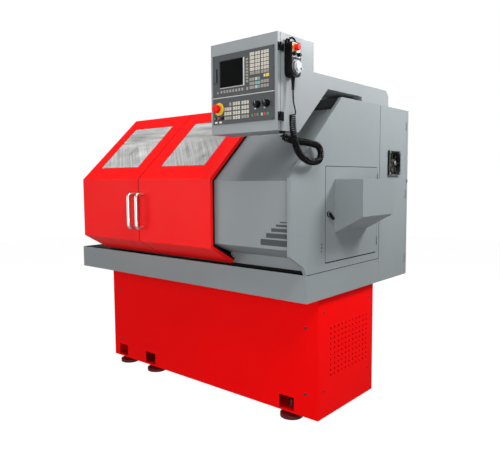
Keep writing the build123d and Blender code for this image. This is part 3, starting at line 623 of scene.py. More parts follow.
# --- light, floor and surroundings ------------------------------------------------------------
WORLD_LOW, WORLD_HIGH = 0.42, 0.09
POWER_LEFT, POWER_RIGHT, POWER_TOP, POWER_FRONT, POWER_HIGH = 90.0, 86.0, 70.0, 49.0, 58.0
world = bpy.data.worlds.new("studio")
scene.world = world
world.use_nodes = True
wn = world.node_tree
wn.nodes.clear()
w_out = wn.nodes.new("ShaderNodeOutputWorld")
w_mix = wn.nodes.new("ShaderNodeMixShader")
w_light = wn.nodes.new("ShaderNodeBackground")
w_seen = wn.nodes.new("ShaderNodeBackground")
w_path = wn.nodes.new("ShaderNodeLightPath")
w_dir = wn.nodes.new("ShaderNodeTexCoord")
w_sep = wn.nodes.new("ShaderNodeSeparateXYZ")
w_ramp = wn.nodes.new("ShaderNodeMapRange")
wn.links.new(w_dir.outputs["Generated"], w_sep.inputs[0])
wn.links.new(w_sep.outputs[2], w_ramp.inputs["Value"])
w_ramp.inputs["From Min"].default_value = -0.6
w_ramp.inputs["From Max"].default_value = 0.6
w_ramp.inputs["To Min"].default_value = WORLD_LOW
w_ramp.inputs["To Max"].default_value = WORLD_HIGH
wn.links.new(w_ramp.outputs["Result"], w_light.inputs["Strength"])
w_light.inputs["Color"].default_value = (0.97, 0.985, 1.0, 1.0)
w_seen.inputs["Color"].default_value = (1.0, 1.0, 1.0, 1.0)
w_seen.inputs["Strength"].default_value = 1.0
wn.links.new(w_path.outputs["Is Camera Ray"], w_mix.inputs["Fac"])
wn.links.new(w_light.outputs[0], w_mix.inputs[1])
wn.links.new(w_seen.outputs[0], w_mix.inputs[2])
wn.links.new(w_mix.outputs[0], w_out.inputs["Surface"])


def softbox(name, at, towards, size, power, tint=(1.0, 1.0, 1.0)):
    li = bpy.data.lights.new(name, "AREA")
    li.shape, li.size, li.size_y = "RECTANGLE", size[0], size[1]
    li.energy, li.color = power, tint
    ob = bpy.data.objects.new(name, li)
    scene.collection.objects.link(ob)
    ob.location = at
    ob.rotation_euler = (Vector(towards) - Vector(at)).to_track_quat("-Z", "Y").to_euler()
    return ob


softbox("light_front_left", (-2.6, -4.2, 1.9), (0.0, -0.5, 1.1), (3.4, 3.4), POWER_LEFT)
softbox("light_right_back", (2.35, 1.35, 2.95), (0.85, 0.15, 1.35), (0.8, 0.8), POWER_RIGHT)
softbox("light_top", (0.35, -0.7, 4.4), (0.0, -0.2, 1.4), (2.2, 1.6), POWER_TOP)
softbox("light_front_right", (2.7, -3.0, 0.8), (0.7, 0.0, 0.7), (1.4, 1.0), POWER_FRONT)
softbox("light_right_high", (2.7, -1.75, 4.0), (0.85, -0.2, 1.5), (1.0, 1.0), POWER_HIGH)

floor_me = bpy.data.meshes.new("floor")
floor_me.from_pydata([(-9, -9, 0), (9, -9, 0), (9, 9, 0), (-9, 9, 0)], [], [(0, 1, 2, 3)])
floor = bpy.data.objects.new("floor", floor_me)
scene.collection.objects.link(floor)
m_floor = Mat("pale_floor")
m_floor.set(Base_Color=m_floor.ramp(m_floor.noise(0.6, 2.0), [(0.3, (0.10, 0.10, 0.10)), (0.7, (0.12, 0.12, 0.12))]),
            Roughness=0.9, Specular_IOR_Level=0.0, Emission_Color=(1.0, 1.0, 1.0), Emission_Strength=0.97)
floor_me.materials.append(m_floor.mat)
floor.visible_diffuse = False
floor.visible_glossy = False

# --- CAD nodes: materials and broken edges --------------------------------------------------------
m_fan = fan_frame()
LOOKS = {
    "base_cabinet": m_red_base, "base_front_panel": m_red_base, "base_vent_panel": m_red_base,
    "levelling_feet": m_foot, "chip_tray": m_grey, "bed": m_ways, "headstock": m_cast,
    "spindle": m_steel_turned, "spindle_pulley": m_dark_steel, "chuck_body": m_steel_turned,
    "chuck_jaw_1": m_dark_steel, "chuck_jaw_2": m_dark_steel, "chuck_jaw_3": m_dark_steel,
    "drive_belt": m_belt, "spindle_motor": m_dark_paint, "motor_pulley": m_dark_steel,
    "belt_cover": m_grey, "carriage_saddle": m_cast, "cross_slide": m_steel,
    "tool_turret": m_dark_steel, "turning_tools": m_steel, "z_ballscrew": m_steel_turned,
    "z_servo_motor": m_dark_paint, "tailstock_body": m_cast, "tailstock_quill": m_steel_turned,
    "tailstock_handwheel": m_chrome, "left_end_panel": m_grey, "back_panel": m_grey,
    "right_end_panel": m_grey, "front_cover": m_grey, "side_door": m_grey, "side_latch": m_black,
    "left_door": m_red, "right_door": m_red, "left_window": m_pane, "right_window": m_pane,
    "left_handle": m_chrome, "right_handle": m_chrome, "door_rails": m_dark_steel,
    "electrical_cabinet": m_grey, "cabinet_door": m_grey, "fan_housing": m_fan,
    "fan_rotor": m_blade, "control_housing": m_grey_light, "control_door": m_grey_light,
    "control_hinges": m_black, "display_panel": m_panel, "machine_panel": m_panel,
    "panel_keys": m_key, "estop_button": m_estop, "feed_knob": m_black, "spindle_knob": m_black,
    "pendant_body": m_black, "pendant_estop": m_estop, "pendant_axis_knob": m_black,
    "pendant_step_knob": m_black, "pendant_handwheel": m_silver, "cord_fittings": m_black_soft,
    "straight_cord": m_cord, "coiled_cord": m_cord,
}
for name, look in LOOKS.items():
    ob = NODES[name]
    ob.data.materials.clear()
    ob.data.materials.append(look.mat)

EDGES = {
    "base_cabinet": 0.8, "base_front_panel": 0.8, "chip_tray": 1.0, "bed": 2.0,
    "headstock": 4.0, "carriage_saddle": 2.5, "cross_slide": 2.0, "tool_turret": 1.5,
    "turning_tools": 0.6, "tailstock_body": 3.0, "z_servo_motor": 2.0, "belt_cover": 0.8,
    "left_end_panel": 0.7, "back_panel": 0.7, "right_end_panel": 0.8, "front_cover": 0.7,
    "side_door": 0.8, "side_latch": 1.2, "left_door": 0.8, "right_door": 0.8,
    "electrical_cabinet": 0.8, "cabinet_door": 0.8, "fan_housing": 0.9, "control_housing": 0.8,
    "control_door": 0.8, "control_hinges": 0.8, "display_panel": 0.6, "machine_panel": 0.6,
    "estop_button": 1.2, "feed_knob": 0.8, "spindle_knob": 0.8, "pendant_body": 2.2,
    "pendant_estop": 1.0, "pendant_axis_knob": 0.6, "pendant_step_knob": 0.6,
    "pendant_handwheel": 0.9, "levelling_feet": 1.5, "chuck_jaw_1": 1.0, "chuck_jaw_2": 1.0,
    "chuck_jaw_3": 1.0, "tailstock_handwheel": 1.5, "fan_rotor": 0.6, "spindle_motor": 2.0,
}
for name, width in EDGES.items():
    ob = NODES[name]
    w = ob.modifiers.new("join", "WELD")
    w.merge_threshold = 0.00002
    b = ob.modifiers.new("edges", "BEVEL")
    b.width, b.segments, b.limit_method = width / 1000.0, 2, "ANGLE"
    b.angle_limit = math.radians(40)
    b.harden_normals = True

# --- door windows: creased film over the clear guards --------------------------------------------
FOLD, TOPEDGE = (0.0, 1302.0), (445.0, 1715.0)
_l = math.hypot(TOPEDGE[0] - FOLD[0], TOPEDGE[1] - FOLD[1])
SLOPE = ((TOPEDGE[0] - FOLD[0]) / _l, (TOPEDGE[1] - FOLD[1]) / _l)
INWARD = (SLOPE[1], -SLOPE[0])


def on_slope(t, d):
    return (FOLD[0] + t * SLOPE[0] + d * INWARD[0], FOLD[1] + t * SLOPE[1] + d * INWARD[1])


def window_film(name, x0, x1, t0, t1, body, seed, gain):
    nx, nt = 72, 72
    verts, faces, uvs = [], [], []
    for j in range(nt + 1):
        for i in range(nx + 1):
            u, v = i / nx, j / nt
            x, t = x0 + u * (x1 - x0), t0 + v * (t1 - t0)
            e = min(u, 1 - u, v, 1 - v)
            h = 0.5 * noise.noise(Vector((u * 9 + seed, v * 1.6, 0))) * (1 - v)
            h += 0.5 * noise.noise(Vector((u * 1.3 + seed, v * 8.0, 3.0))) * v
            h += 0.35 * noise.noise(Vector((u * 5 + seed, v * 5, 7.0)))
            d = 1.15 - 0.75 * max(-0.9, min(0.9, h)) * min(1.0, e * 12)
            y, z = on_slope(t, d)
            verts.append(P(x, y, z))
            uvs.append((u, v))
    for j in range(nt):
        for i in range(nx):
            a = j * (nx + 1) + i
            faces.append((a, a + 1, a + nx + 2, a + nx + 1))
    me = bpy.data.meshes.new(name)
    me.from_pydata(verts, [], faces)
    lay = me.uv_layers.new(name="UVMap")
    for lp in me.loops:
        lay.data[lp.index].uv = uvs[lp.vertex_index]
    ob = finish_piece(name, me, film(name, seed, gain), body, angle=80)
    s = ob.modifiers.new("thickness", "SOLIDIFY")
    s.thickness, s.offset = 0.0002, -1.0
    return ob


window_film("left_window_film", -1599.4, -1212.6, 106.6, 503.4, "left_door", 2.7, 0.91)
window_film("right_window_film", -1000.4, -635.6, 106.6, 503.4, "right_door", 6.1, 0.79)


def window_gasket(name, x0, x1, t0, t1, body):
    """Thin dark sealing lip round the opening, inside the thickness of the door sheet."""
    g = Geo()
    for a, b, c, d in ((x0, x1, t0, t0 + 2.2), (x0, x1, t1 - 2.2, t1),
                       (x0, x0 + 2.2, t0 + 2.2, t1 - 2.2), (x1 - 2.2, x1, t0 + 2.2, t1 - 2.2)):
        q = [on_slope(c, 0.3), on_slope(d, 0.3), on_slope(d, 1.9), on_slope(c, 1.9)]
        g.prism(q, "x", a, b)
    return g.done(name, m_black_soft, body)


window_gasket("left_window_gasket", -1599.8, -1212.2, 106.2, 503.8, "left_door")
window_gasket("right_window_gasket", -1000.8, -635.2, 106.2, 503.8, "right_door")

# --- operator panel ------------------------------------------------------------------------------------
PY = -99.5
KEY_T = 1.5


def keys(name, mat, places, w, h, t=KEY_T):
    g = Geo()
    for x, z in places:
        g.cap(x - w / 2, x + w / 2, z - h / 2, z + h / 2, PY + 0.05, PY - t, 0.7)
    return g.done(name, mat, "control_door", bevel=0.35)


soft_keys = [(-172.0, 1841.6 - 14.1 * j) for j in range(8)]
row_keys = [(-332.5 + 18.84 * i, 1710.5) for i in range(8)]
BLOCK_COLS = (-147.8, -134.0, -116.2, -101.5, -81.9, -66.2, -51.3)
block = [(cx, 1860.3 - 17.0 * j) for j in range(5) for cx in BLOCK_COLS]
block_dim = [(cx, 1860.3 - 85.0) for cx in BLOCK_COLS]
lower = [(cx, cz) for cx in (-150.3, -135.0) for cz in (1748.0, 1729.5, 1712.0)] + [(-102.3, 1748.0), (-102.3, 1712.0)]
edit = [(cx, cz) for cx in (-84.2, -68.0, -51.8) for cz in (1732.0, 1712.6)]
mcp, mcp_dim = [], []
for gidx in range(3):
    for i in range(3):
        for j in range(4):
            if gidx == 0 and j == 0 and i < 2:
                continue
            q = (-308.3 + 54.1 * gidx + 15.8 * i, 1649.6 - 21.3 * j)
            (mcp_dim if (j == 3 and gidx != 1) or (gidx == 0 and j == 0) else mcp).append(q)
key_main = keys("panel_keys_main", m_key, block, 12.5, 13.5)
keys("panel_keys_main_dim", m_key_dim, block_dim, 12.5, 13.5)
keys("panel_keys_soft_column", m_key_dim, soft_keys, 14, 9)
keys("panel_keys_soft_row", m_key_dim, row_keys, 11, 12)
keys("panel_keys_single", m_key_dim, [(-171.0, 1710.0)], 11, 13)
keys("panel_keys_start", m_key_dim, [(-356.5, 1708.0)], 8, 10)
keys("panel_keys_lower", m_key_dim, lower, 13, 13)
keys("panel_keys_cursor", m_key_cyan, [(-117.5, 1729.5), (-102.3, 1729.5)], 13, 13)
keys("panel_keys_cursor_pale", m_key_cyan_pale, [(-117.5, 1748.0), (-117.5, 1712.0)], 13, 13)
keys("panel_keys_edit", m_key_dim, edit, 13, 13)
keys("panel_keys_machine", m_key, mcp, 12, 15)
keys("panel_keys_machine_dim", m_key_dim, mcp_dim, 12, 15)
keys("panel_keys_yellow", m_key_yellow, [(-51.7, 1757.0)], 17, 14)
keys("panel_keys_small", m_key, [(-69.0, 1757.0)], 10, 12)
keys("panel_keys_green", m_key_green, [(-141.5, 1588.0), (-108.8, 1588.0), (-51.4, 1588.0)], 11, 13)
keys("panel_keys_red", m_key_red, [(-124.5, 1588.0), (-68.9, 1588.0)], 11, 13)
keys("panel_keys_white", m_key, [(-85.0, 1588.0)], 11, 13)
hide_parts("panel_keys")

# small neutral dashes on the key tops
g = Geo()
for x, z in block + mcp:
    g.box(x - 2.6, x + 2.6, PY - KEY_T - 0.12, PY - KEY_T + 0.1, z - 0.9, z + 0.9)
for x, z in edit + soft_keys + lower + block_dim:
    g.box(x - 2.2, x + 2.2, PY - KEY_T - 0.12, PY - KEY_T + 0.1, z - 0.7, z + 0.7)
g.done("panel_key_marks", m_ink, "control_door")

# screen with its bezel, pale on the right and bottom bars as painted highlight and black on the left and top bars as
# painted shade, and the covered slot beside it
SX0, SX1, SZ0, SZ1 = -341.5, -197.0, 1730.5, 1852.5
g = Geo()
g.prism(rounded(SX0 + 0.6, SX1 - 0.6, SZ0 + 0.6, SZ1 - 0.6, 2.0), "y", PY + 1.45, PY + 0.55)
g.done("screen_glass", m_screen, "control_door", bevel=0.2)
# pale right and bottom bars: painted highlight where the bezel catches the light
g = Geo()
g.prism([(SX1 + 1.5, SZ0 - 4.0), (SX1 + 9.0, SZ0 - 4.0), (SX1 + 9.0, SZ1 + 1.5), (SX1 + 1.5, SZ1 + 1.5)],
        "y", PY + 0.05, PY - 1.0)
g.prism([(SX0 - 2.0, SZ0 - 4.0), (SX1 + 1.4, SZ0 - 4.0), (SX1 + 1.4, SZ0 - 1.2), (SX0 - 2.0, SZ0 - 1.2)],
        "y", PY + 0.05, PY - 0.8)
g.done("screen_bezel_painted_highlight", m_bezel, "control_door", bevel=0.45)
# black left and top bars: painted shade where the bezel is turned from the light
g = Geo()
g.prism([(SX0 - 2.5, SZ1 + 0.2), (SX1 + 1.4, SZ1 + 0.2), (SX1 + 1.4, SZ1 + 2.7), (SX0 - 2.5, SZ1 + 2.7)],
        "y", PY + 0.05, PY - 0.8)
g.prism([(SX0 - 2.5, SZ0 - 0.8), (SX0 - 0.2, SZ0 - 0.8), (SX0 - 0.2, SZ1 + 0.15), (SX0 - 2.5, SZ1 + 0.15)],
        "y", PY + 0.05, PY - 0.8)
g.done("screen_bezel_painted_shade", m_black, "control_door", bevel=0.35)
g = Geo()
g.prism(rounded(-384.0, -355.5, 1752.0, 1824.0, 3.0), "y", PY + 0.05, PY - 0.7)
g.done("card_slot_plate", m_panel, "control_door", bevel=0.4)
g = Geo()
g.prism(rounded(-366.0, -357.5, 1755.0, 1821.0, 2.5), "y", PY - 0.6, PY - 1.6)
g.prism(rounded(-383.0, -367.0, 1752.6, 1755.4, 1.0), "y", PY - 0.6, PY - 1.2)
g.done("card_slot_flap", m_black, "control_door", bevel=0.3)

# light strip between the two panels, and the panel screws
g = Geo()
g.box(-390.0, -17.0, PY - 0.3, PY + 4.95, 1682.3, 1685.7)
g.done("panel_divider", m_bezel, "control_door", bevel=0.3)
g = Geo()
for x in (-385.5, -21.5):
    for z in (1691.0, 1784.0, 1878.0, 1564.0, 1677.0):
        g.screw("y", x, z, PY, -1.3, 2.2, 16)
g.done("panel_screws", m_dark_steel, "control_door")

# emergency stop collar, push buttons with bezels and blank tags
ESX, ESZ = -350.0, 1631.5
g = Geo()
g.lathe("y", ESX, ESZ, [(PY + 0.05, 12.2), (PY + 0.05, 30.0), (PY - 1.6, 30.0), (PY - 3.0, 28.4),
                        (PY - 4.4, 22.0), (PY - 4.4, 14.2), (PY - 3.2, 12.2), (PY + 0.05, 12.2)], 56)
g.done("estop_collar", m_yellow, "control_door")
g = Geo()
for k in range(3):
    a0 = 90 + 120 * k
    g.tube([(ESX + 10.5 * math.cos(math.radians(a0 + q)), PY - 34.2, ESZ + 10.5 * math.sin(math.radians(a0 + q)))
            for q in range(-32, 33, 8)], 0.55, 8)
g.done("estop_arrows", m_key_red, "estop")
BUTTONS = (("green", -376.5, m_key_green), ("red", -350.0, m_key_red), ("black", -327.0, m_black))
for bname, bx, bmat in BUTTONS:
    g = Geo()
    g.lathe("y", bx, 1588.5, [(PY - 0.9, 0.0), (PY - 0.9, 6.9), (PY - 4.2, 6.9), (PY - 5.0, 6.0), (PY - 5.2, 0.0)], 36)
    g.done("push_button_" + bname, bmat, "control_door")
g = Geo()
for _, bx, _ in BUTTONS:
    g.lathe("y", bx, 1588.5, [(PY + 0.05, 7.3), (PY + 0.05, 9.6), (PY - 1.6, 9.6), (PY - 2.6, 8.6), (PY - 2.6, 7.3),
                              (PY + 0.05, 7.3)], 40)
g.done("push_button_bezels", m_black, "control_door")
g = Geo()
for bx in (-370.0, -341.0):
    g.prism(rounded(bx - 8.5, bx + 8.5, 1565.0, 1573.0, 1.2), "y", PY + 0.05, PY - 0.6)
g.done("push_button_tags", m_white, "control_door", bevel=0.15)

# rotary switches: dial plates with ticks, grip ribs and pointer lines
KZ = 1633.5
for kname, kx in (("spindle", -109.0), ("feed", -55.0)):
    g = Geo()
    g.ring("y", kx, KZ, PY + 0.05, PY - 0.22, 25.0, 17.2, 64, 0.1)
    g.done(kname + "_dial_plate", m_panel, "control_door")
    g = Geo()
    for k in range(16):
        a = math.radians(-45 + 270.0 * k / 15)
        r0, r1 = (18.6, 23.4) if k % 5 == 0 else (19.8, 22.8)
        ca, sa = math.cos(a), math.sin(a)
        w = 0.55
        g.prism([(kx + r0 * ca - w * sa, KZ + r0 * sa + w * ca), (kx + r0 * ca + w * sa, KZ + r0 * sa - w * ca),
                 (kx + r1 * ca + w * sa, KZ + r1 * sa - w * ca), (kx + r1 * ca - w * sa, KZ + r1 * sa + w * ca)],
                "y", PY - 0.15, PY - 0.4)
    g.done(kname + "_dial_ticks", m_key_dim, "control_door")
    g = Geo()
    for k in range(20):
        a = 2 * math.pi * (k + 0.5) / 20
        g.tube([(kx + r * math.cos(a), PY + y, KZ + r * math.sin(a)) for y, r in ((-4.3, 14.5), (-12.0, 13.7), (-20.5, 12.7))], 0.8, 6)
    g.done(kname + "_knob_ribs", m_black, kname + "_knob")
    g = Geo()
    g.box(kx - 0.7, kx + 0.7, PY - 23.0, PY - 22.6, KZ + 1.5, KZ + 14.3)
    g.done(kname + "_knob_pointer", m_white, kname + "_knob")
    g = Geo()
    g.prism(rounded(kx - 20.0, kx - 11.0, KZ - 20.5, KZ - 16.0, 0.8), "y", PY + 0.05, PY - 0.5)
    g.done(kname + "_dial_tag", m_white, "control_door")

# control box hinges: moving leaves on the door side, screws in the fixed leaves
HINGES = ((1555.0, 1593.0), (1856.0, 1893.0))
g = Geo()
for z0, z1 in HINGES:
    g.prism(rounded(-94.3, -86.6, z0, z1, 1.5), "x", -0.4, 4.0)
    g.prism([(-88.0, z0 + 12.0), (-86.4, z0 + 12.0), (-86.4, z1 - 12.0), (-88.0, z1 - 12.0)], "x", 3.0, 9.0)
g.done("control_hinge_leaves", m_black, "control_door", bevel=0.6)
g = Geo()
for z0, z1 in HINGES:
    for zz in (z0 + 8.0, z1 - 8.0):
        g.screw("x", -62.0, zz, 4.0, 1.3, 3.4, 16)
g.done("control_hinge_screws", m_dark_steel, "machine")

# --- pendant -------------------------------------------------------------------------------------------------
PEY, PEZ, PWY, PWZ = -26.0, 1871.5, -16.0, 1790.0
g = Geo()
g.prism(rounded(-44.0, 16.0, 1831.0, 1893.0, 5.0), "x", 42.9, 43.22)
g.done("pendant_face", m_face, "machine")
g = Geo()
g.lathe("x", PEY, PEZ, [(43.2, 9.0), (43.2, 18.5), (45.0, 18.5), (47.0, 16.0), (47.0, 9.0), (43.2, 9.0)], 44)
g.done("pendant_estop_collar", m_orange, "machine")
g = Geo()
g.prism(rounded(-45.0, 17.0, 1757.0, 1830.4, 9.0), "x", 42.9, 43.30)
g.done("pendant_dial_plate", m_slate, "machine", bevel=0.1)
g = Geo()
g.ring("x", PWY, PWZ, 43.2, 45.6, 31.5, 11.0, 64, 0.5)
g.done("pendant_dial", m_silver, "machine")
g = Geo()
for k in range(50):
    a = 2 * math.pi * k / 50
    r0, r1 = (27.6, 31.0) if k % 5 == 0 else (29.0, 31.0)
    ca, sa, w = math.cos(a), math.sin(a), 0.25
    g.prism([(PWY + r0 * ca - w * sa, PWZ + r0 * sa + w * ca), (PWY + r0 * ca + w * sa, PWZ + r0 * sa - w * ca),
             (PWY + r1 * ca + w * sa, PWZ + r1 * sa - w * ca), (PWY + r1 * ca - w * sa, PWZ + r1 * sa + w * ca)],
            "x", 45.5, 45.72)
g.done("pendant_dial_ticks", m_ink, "machine")
g = Geo()
for k in range(60):
    a = 2 * math.pi * k / 60
    g.tube([(x, PWY + 26.85 * math.cos(a), PWZ + 26.85 * math.sin(a)) for x in (47.6, 51.5, 55.4)], 0.55, 5)
g.done("pendant_wheel_knurl", m_silver, "pendant_wheel")
for kname, ky in (("axis", -36.0), ("step", -1.0)):
    kz = 1844.0
    g = Geo()
    for k in range(14):
        a = 2 * math.pi * (k + 0.5) / 14
        g.tube([(x, ky + r * math.cos(a), kz + r * math.sin(a)) for x, r in ((47.2, 8.5), (52.0, 8.05), (57.2, 7.55))], 0.6, 6)
    g.done("pendant_%s_knob_ribs" % kname, m_black, "pendant_%s_knob" % kname)
    g = Geo()
    g.box(58.7, 59.0, ky - 0.6, ky + 0.6, kz + 0.5, kz + 7.6)
    g.done("pendant_%s_knob_pointer" % kname, m_white, "pendant_%s_knob" % kname)
    g = Geo()
    for k in range(7):
        a = math.radians(30 + 20 * k)
        g.lathe("x", ky + 12.0 * math.cos(a), kz + 12.0 * math.sin(a), [(43.2, 0.0), (43.2, 0.7), (43.45, 0.7), (43.45, 0.0)], 8)
    g.done("pendant_%s_dots" % kname, m_ink, "machine")
# carrying hook on top and grip ribs on the flank
g = Geo()
HOOK = [(6.0, -19.0, 1905.0), (7.0, -19.0, 1914.0), (10.0, -15.0, 1920.5), (14.0, -8.0, 1922.0), (17.0, 2.0, 1919.0),
        (19.0, 9.0, 1911.0), (20.0, 12.0, 1902.0), (20.0, 11.0, 1892.0)]
g.tube(HOOK, 4.4, 14)
g.tube([(6.0, -40.5, 1880.0), (6.0, -40.5, 1905.0), (8.0, -39.0, 1909.5), (12.0, -37.0, 1909.0)], 4.6, 14)
g.tube([(6.0, -19.0, 1880.0), (6.0, -19.0, 1906.0), (7.0, -19.0, 1914.0)], 4.6, 14)
g.done("pendant_hook", m_black, "machine")
g = Geo()
for k in range(9):
    z = 1790.0 + 9.0 * k
    g.tube([(8.0, -48.2, z), (23.0, -48.2, z), (38.0, -48.2, z)], 1.0, 8)
g.done("pendant_grip_ribs", m_black_soft, "machine")
g = Geo()
for y, z in ((-39.0, 1889.0), (11.0, 1889.0), (-39.0, 1776.0), (11.0, 1776.0)):
    g.screw("x", y, z, 43.2, 0.9, 2.0, 14)
g.done("pendant_screws", m_dark_steel, "machine")
# boot ribs and gland nut
g = Geo()
for k in range(6):
    z = 1697.0 + 6.5 * k
    r = 5.5 + 2.5 * (z - 1692.0) / 43.0 + 0.35
    g.ring("z", 23.0, -12.0, z, z + 3.0, r, r - 1.2, 28, 0.5)
g.done("boot_ribs", m_black_soft, "machine")
g = Geo()
hexa = [(-16 + 15.4 * math.cos(math.radians(60 * k)), -40 + 15.4 * math.sin(math.radians(60 * k))) for k in range(6)]
g.prism(hexa, "z", 1505.4, 1511.2)
g.done("gland_nut", m_black, "machine", bevel=0.6)

# --- rubber lips: between the doors, at the right door's edge, round the side door; dark as painted seam shade ---
# dark red lip in the seam between the doors: a rubber lip whose dark colour is painted shade in the gap
m_lip_seam_shade = plastic("dark_red_lip_seam_shade", (0.050, 0.0015, 0.0015), rough=0.6, grain=0.1, shine=0.05)
PROFILE = [(169.0, 839.0), (0.0, 935.0), (0.0, 1302.0), (445.0, 1715.0)]


def offset_line(pts, d):
    """Open line in (y, z) moved inwards by d, with mitred corners."""
    nrm = []
    for (y0, z0), (y1, z1) in zip(pts, pts[1:]):
        l = math.hypot(y1 - y0, z1 - z0)
        nrm.append(((z1 - z0) / l, -(y1 - y0) / l))
    out = [(pts[0][0] + d * nrm[0][0], pts[0][1] + d * nrm[0][1])]
    for i in range(1, len(pts) - 1):
        na, nb = nrm[i - 1], nrm[i]
        k = d / (1 + na[0] * nb[0] + na[1] * nb[1])
        out.append((pts[i][0] + k * (na[0] + nb[0]), pts[i][1] + k * (na[1] + nb[1])))
    out.append((pts[-1][0] + d * nrm[-1][0], pts[-1][1] + d * nrm[-1][1]))
    return out


def lip(name, mat, body, x0, x1, d0, d1):
    """Strip that follows the door profile between two depths."""
    g = Geo()
    oa, ob = offset_line(PROFILE, d0), offset_line(PROFILE, d1)
    for i in range(len(oa) - 1):
        g.prism([oa[i], oa[i + 1], ob[i + 1], ob[i]], "x", x0, x1)
    return g.done(name, mat, body)


# rubber lips whose dark colour and depth stand in as painted shade in the door gaps
lip("door_meeting_lip_seam_shade", m_lip_seam_shade, "left_door", -1114.2, -1110.25, -0.3, 20.0)
lip("right_door_edge_lip_seam_shade", m_black_soft, "right_door", -517.6, -514.2, 19.0, 27.5)

# seam of the control box, and brush seal in the slot behind the doors, its dark bristles and backing sheet painted
# shade under the arm
g = Geo()
g.box(-0.5, 0.22, -74.45, -72.9, 1513.0, 1937.0)
g.done("control_box_seam", m_seam, "machine")
# dark backing sheet and bristles close the slot: a brush seal whose dark tone is painted shade under the arm
g = Geo()
g.box(-1690.0, -21.0, 456.35, 457.9, 1663.0, 1714.6)
for k in range(208):
    x = -1688.0 + 8.0 * k
    g.box(x, x + 5.0, 456.1, 456.6, 1661.5, 1700.0)
g.done("roof_slot_brush_and_shade", m_bristle_shade, "machine")

# dark rubber in the joints of the end panel, the side door and the cabinet; the strips round the side door and under
# the front cover are dark as painted shade in the gaps
g = Geo()
# rubber strips round the side door, widest along the bottom: painted shade along the door's seams
SY0, SY1, SZ0, SZ1 = 296.0, 838.0, 875.0, 1358.0
g.box(-0.6, 0.35, SY0 - 3.4, SY0 - 0.6, SZ0 - 3.0, SZ1 + 3.0)
g.box(-0.6, 0.35, SY0 - 0.6, SY1 - 14.0, SZ1 + 0.6, SZ1 + 3.2)
g.box(-0.6, 0.45, SY0 - 0.6, SY1 - 14.0, SZ0 - 5.2, SZ0 - 0.6)
g.done("side_door_seal_seam_shade", m_black_soft, "machine")
g = Geo()
g.box(-0.6, 0.3, 866.4, 868.6, 832.0, 1712.0)
g.done("cabinet_joint_seal", m_seam, "machine")
g = Geo()
g.box(-0.6, 0.3, 131.5, 867.0, 828.7, 832.3)
g.done("tray_joint_seal", m_seam, "machine")
g = Geo()
# black rubber strip under the front cover: painted shade in the gap above the tray
g.prism([(185.9, 798.0), (184.4, 798.0), (183.4, 818.0), (182.0, 830.0), (182.6, 837.5), (184.2, 840.0),
         (185.9, 840.0)], "x", -544.0, -21.0)
g.done("cover_foot_seal_gap_shade", m_black_soft, "machine")

# --- screws on the stand and covers --------------------------------------------------------------------------------
g = Geo()
for x, z in ((-1690, 526), (-1685, 170), (-102, 524), (-103, 170)):
    g.screw("y", x, z, 271.0, -2.6, 8.0, 24)
g.done("stand_front_screws", m_dark_paint, "machine")
g = Geo()
for y in (325.0, 800.0):
    for z in (609.0, 192.0):
        g.screw("x", y, z, -25.0, 2.4, 7.0, 24)
g.done("stand_side_screws", m_dark_paint, "machine")
g = Geo()
for z in (971.6, 953.0, 934.4):
    g.screw("x", 262.0, z, 0.0, 1.2, 4.2, 18)
g.done("end_panel_rivets", m_dark_steel, "machine")
g = Geo()
for y in (440.0, 641.0, 842.0):
    for z in (1042.0, 1288.0):
        g.screw("x", y, z, -1885.0, -2.2, 6.0, 18)
g.done("belt_cover_screws", m_dark_steel, "machine")

# graded charcoal bars on the front cover
m_bar = paint("charcoal_bar", (0.050, 0.058, 0.064), rough=0.5, var=0.08)
g = Geo()
for k, (x0, h) in enumerate(((-205.0, 30.0), (-170.0, 23.0), (-138.0, 17.0), (-110.0, 11.0), (-86.0, 6.0))):
    z = (976.0, 1014.0, 1045.0, 1070.0, 1089.0)[k]
    g.prism([(x0, z), (-30.0, z), (-30.0, z + h), (x0, z + h)], "y", 32.1, 31.55)
g.done("cover_bars", m_bar, "machine", bevel=0.15)

# --- inside the guard: drive, chuck, slides and tailstock details ------------------------------------
AXY, AXZ, WAY = 552.0, 1140.0, 970.0
SCY, SCZ = 372.0, 920.0


def ball_thread(name, x0, x1, r, depth, pitch, n=20, per_turn=8):
    """Round-grooved screw: the radius follows a helix along the axis."""
    m = int(round((x1 - x0) / pitch * per_turn))
    verts, faces = [], []
    for i in range(m + 1):
        x = x0 + (x1 - x0) * i / m
        ends = min(1.0, (x - x0) / 30.0 - 0.5, (x1 - x) / 30.0 - 0.5)
        for k in range(n):
            t = 2 * math.pi * k / n
            w = 0.5 + 0.5 * math.cos(2 * math.pi * (x / pitch) - t)
            q = r - (depth * w if ends > 0 else 0.0)
            verts.append(P(x, SCY + q * math.cos(t), SCZ + q * math.sin(t)))
    for i in range(m):
        for k in range(n):
            j = (k + 1) % n
            faces.append((i * n + k, i * n + j, (i + 1) * n + j, (i + 1) * n + k))
    faces.append(tuple(range(n))[::-1])
    faces.append(tuple(m * n + k for k in range(n)))
    me = bpy.data.meshes.new(name)
    me.from_pydata(verts, [], faces)
    ob = finish_piece(name, me, m_steel_turned, "z_screw", angle=60)
    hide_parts("z_ballscrew")
    return ob


ball_thread("z_screw_thread", -1400.0, -165.0, 14.0, 1.8, 10.0)

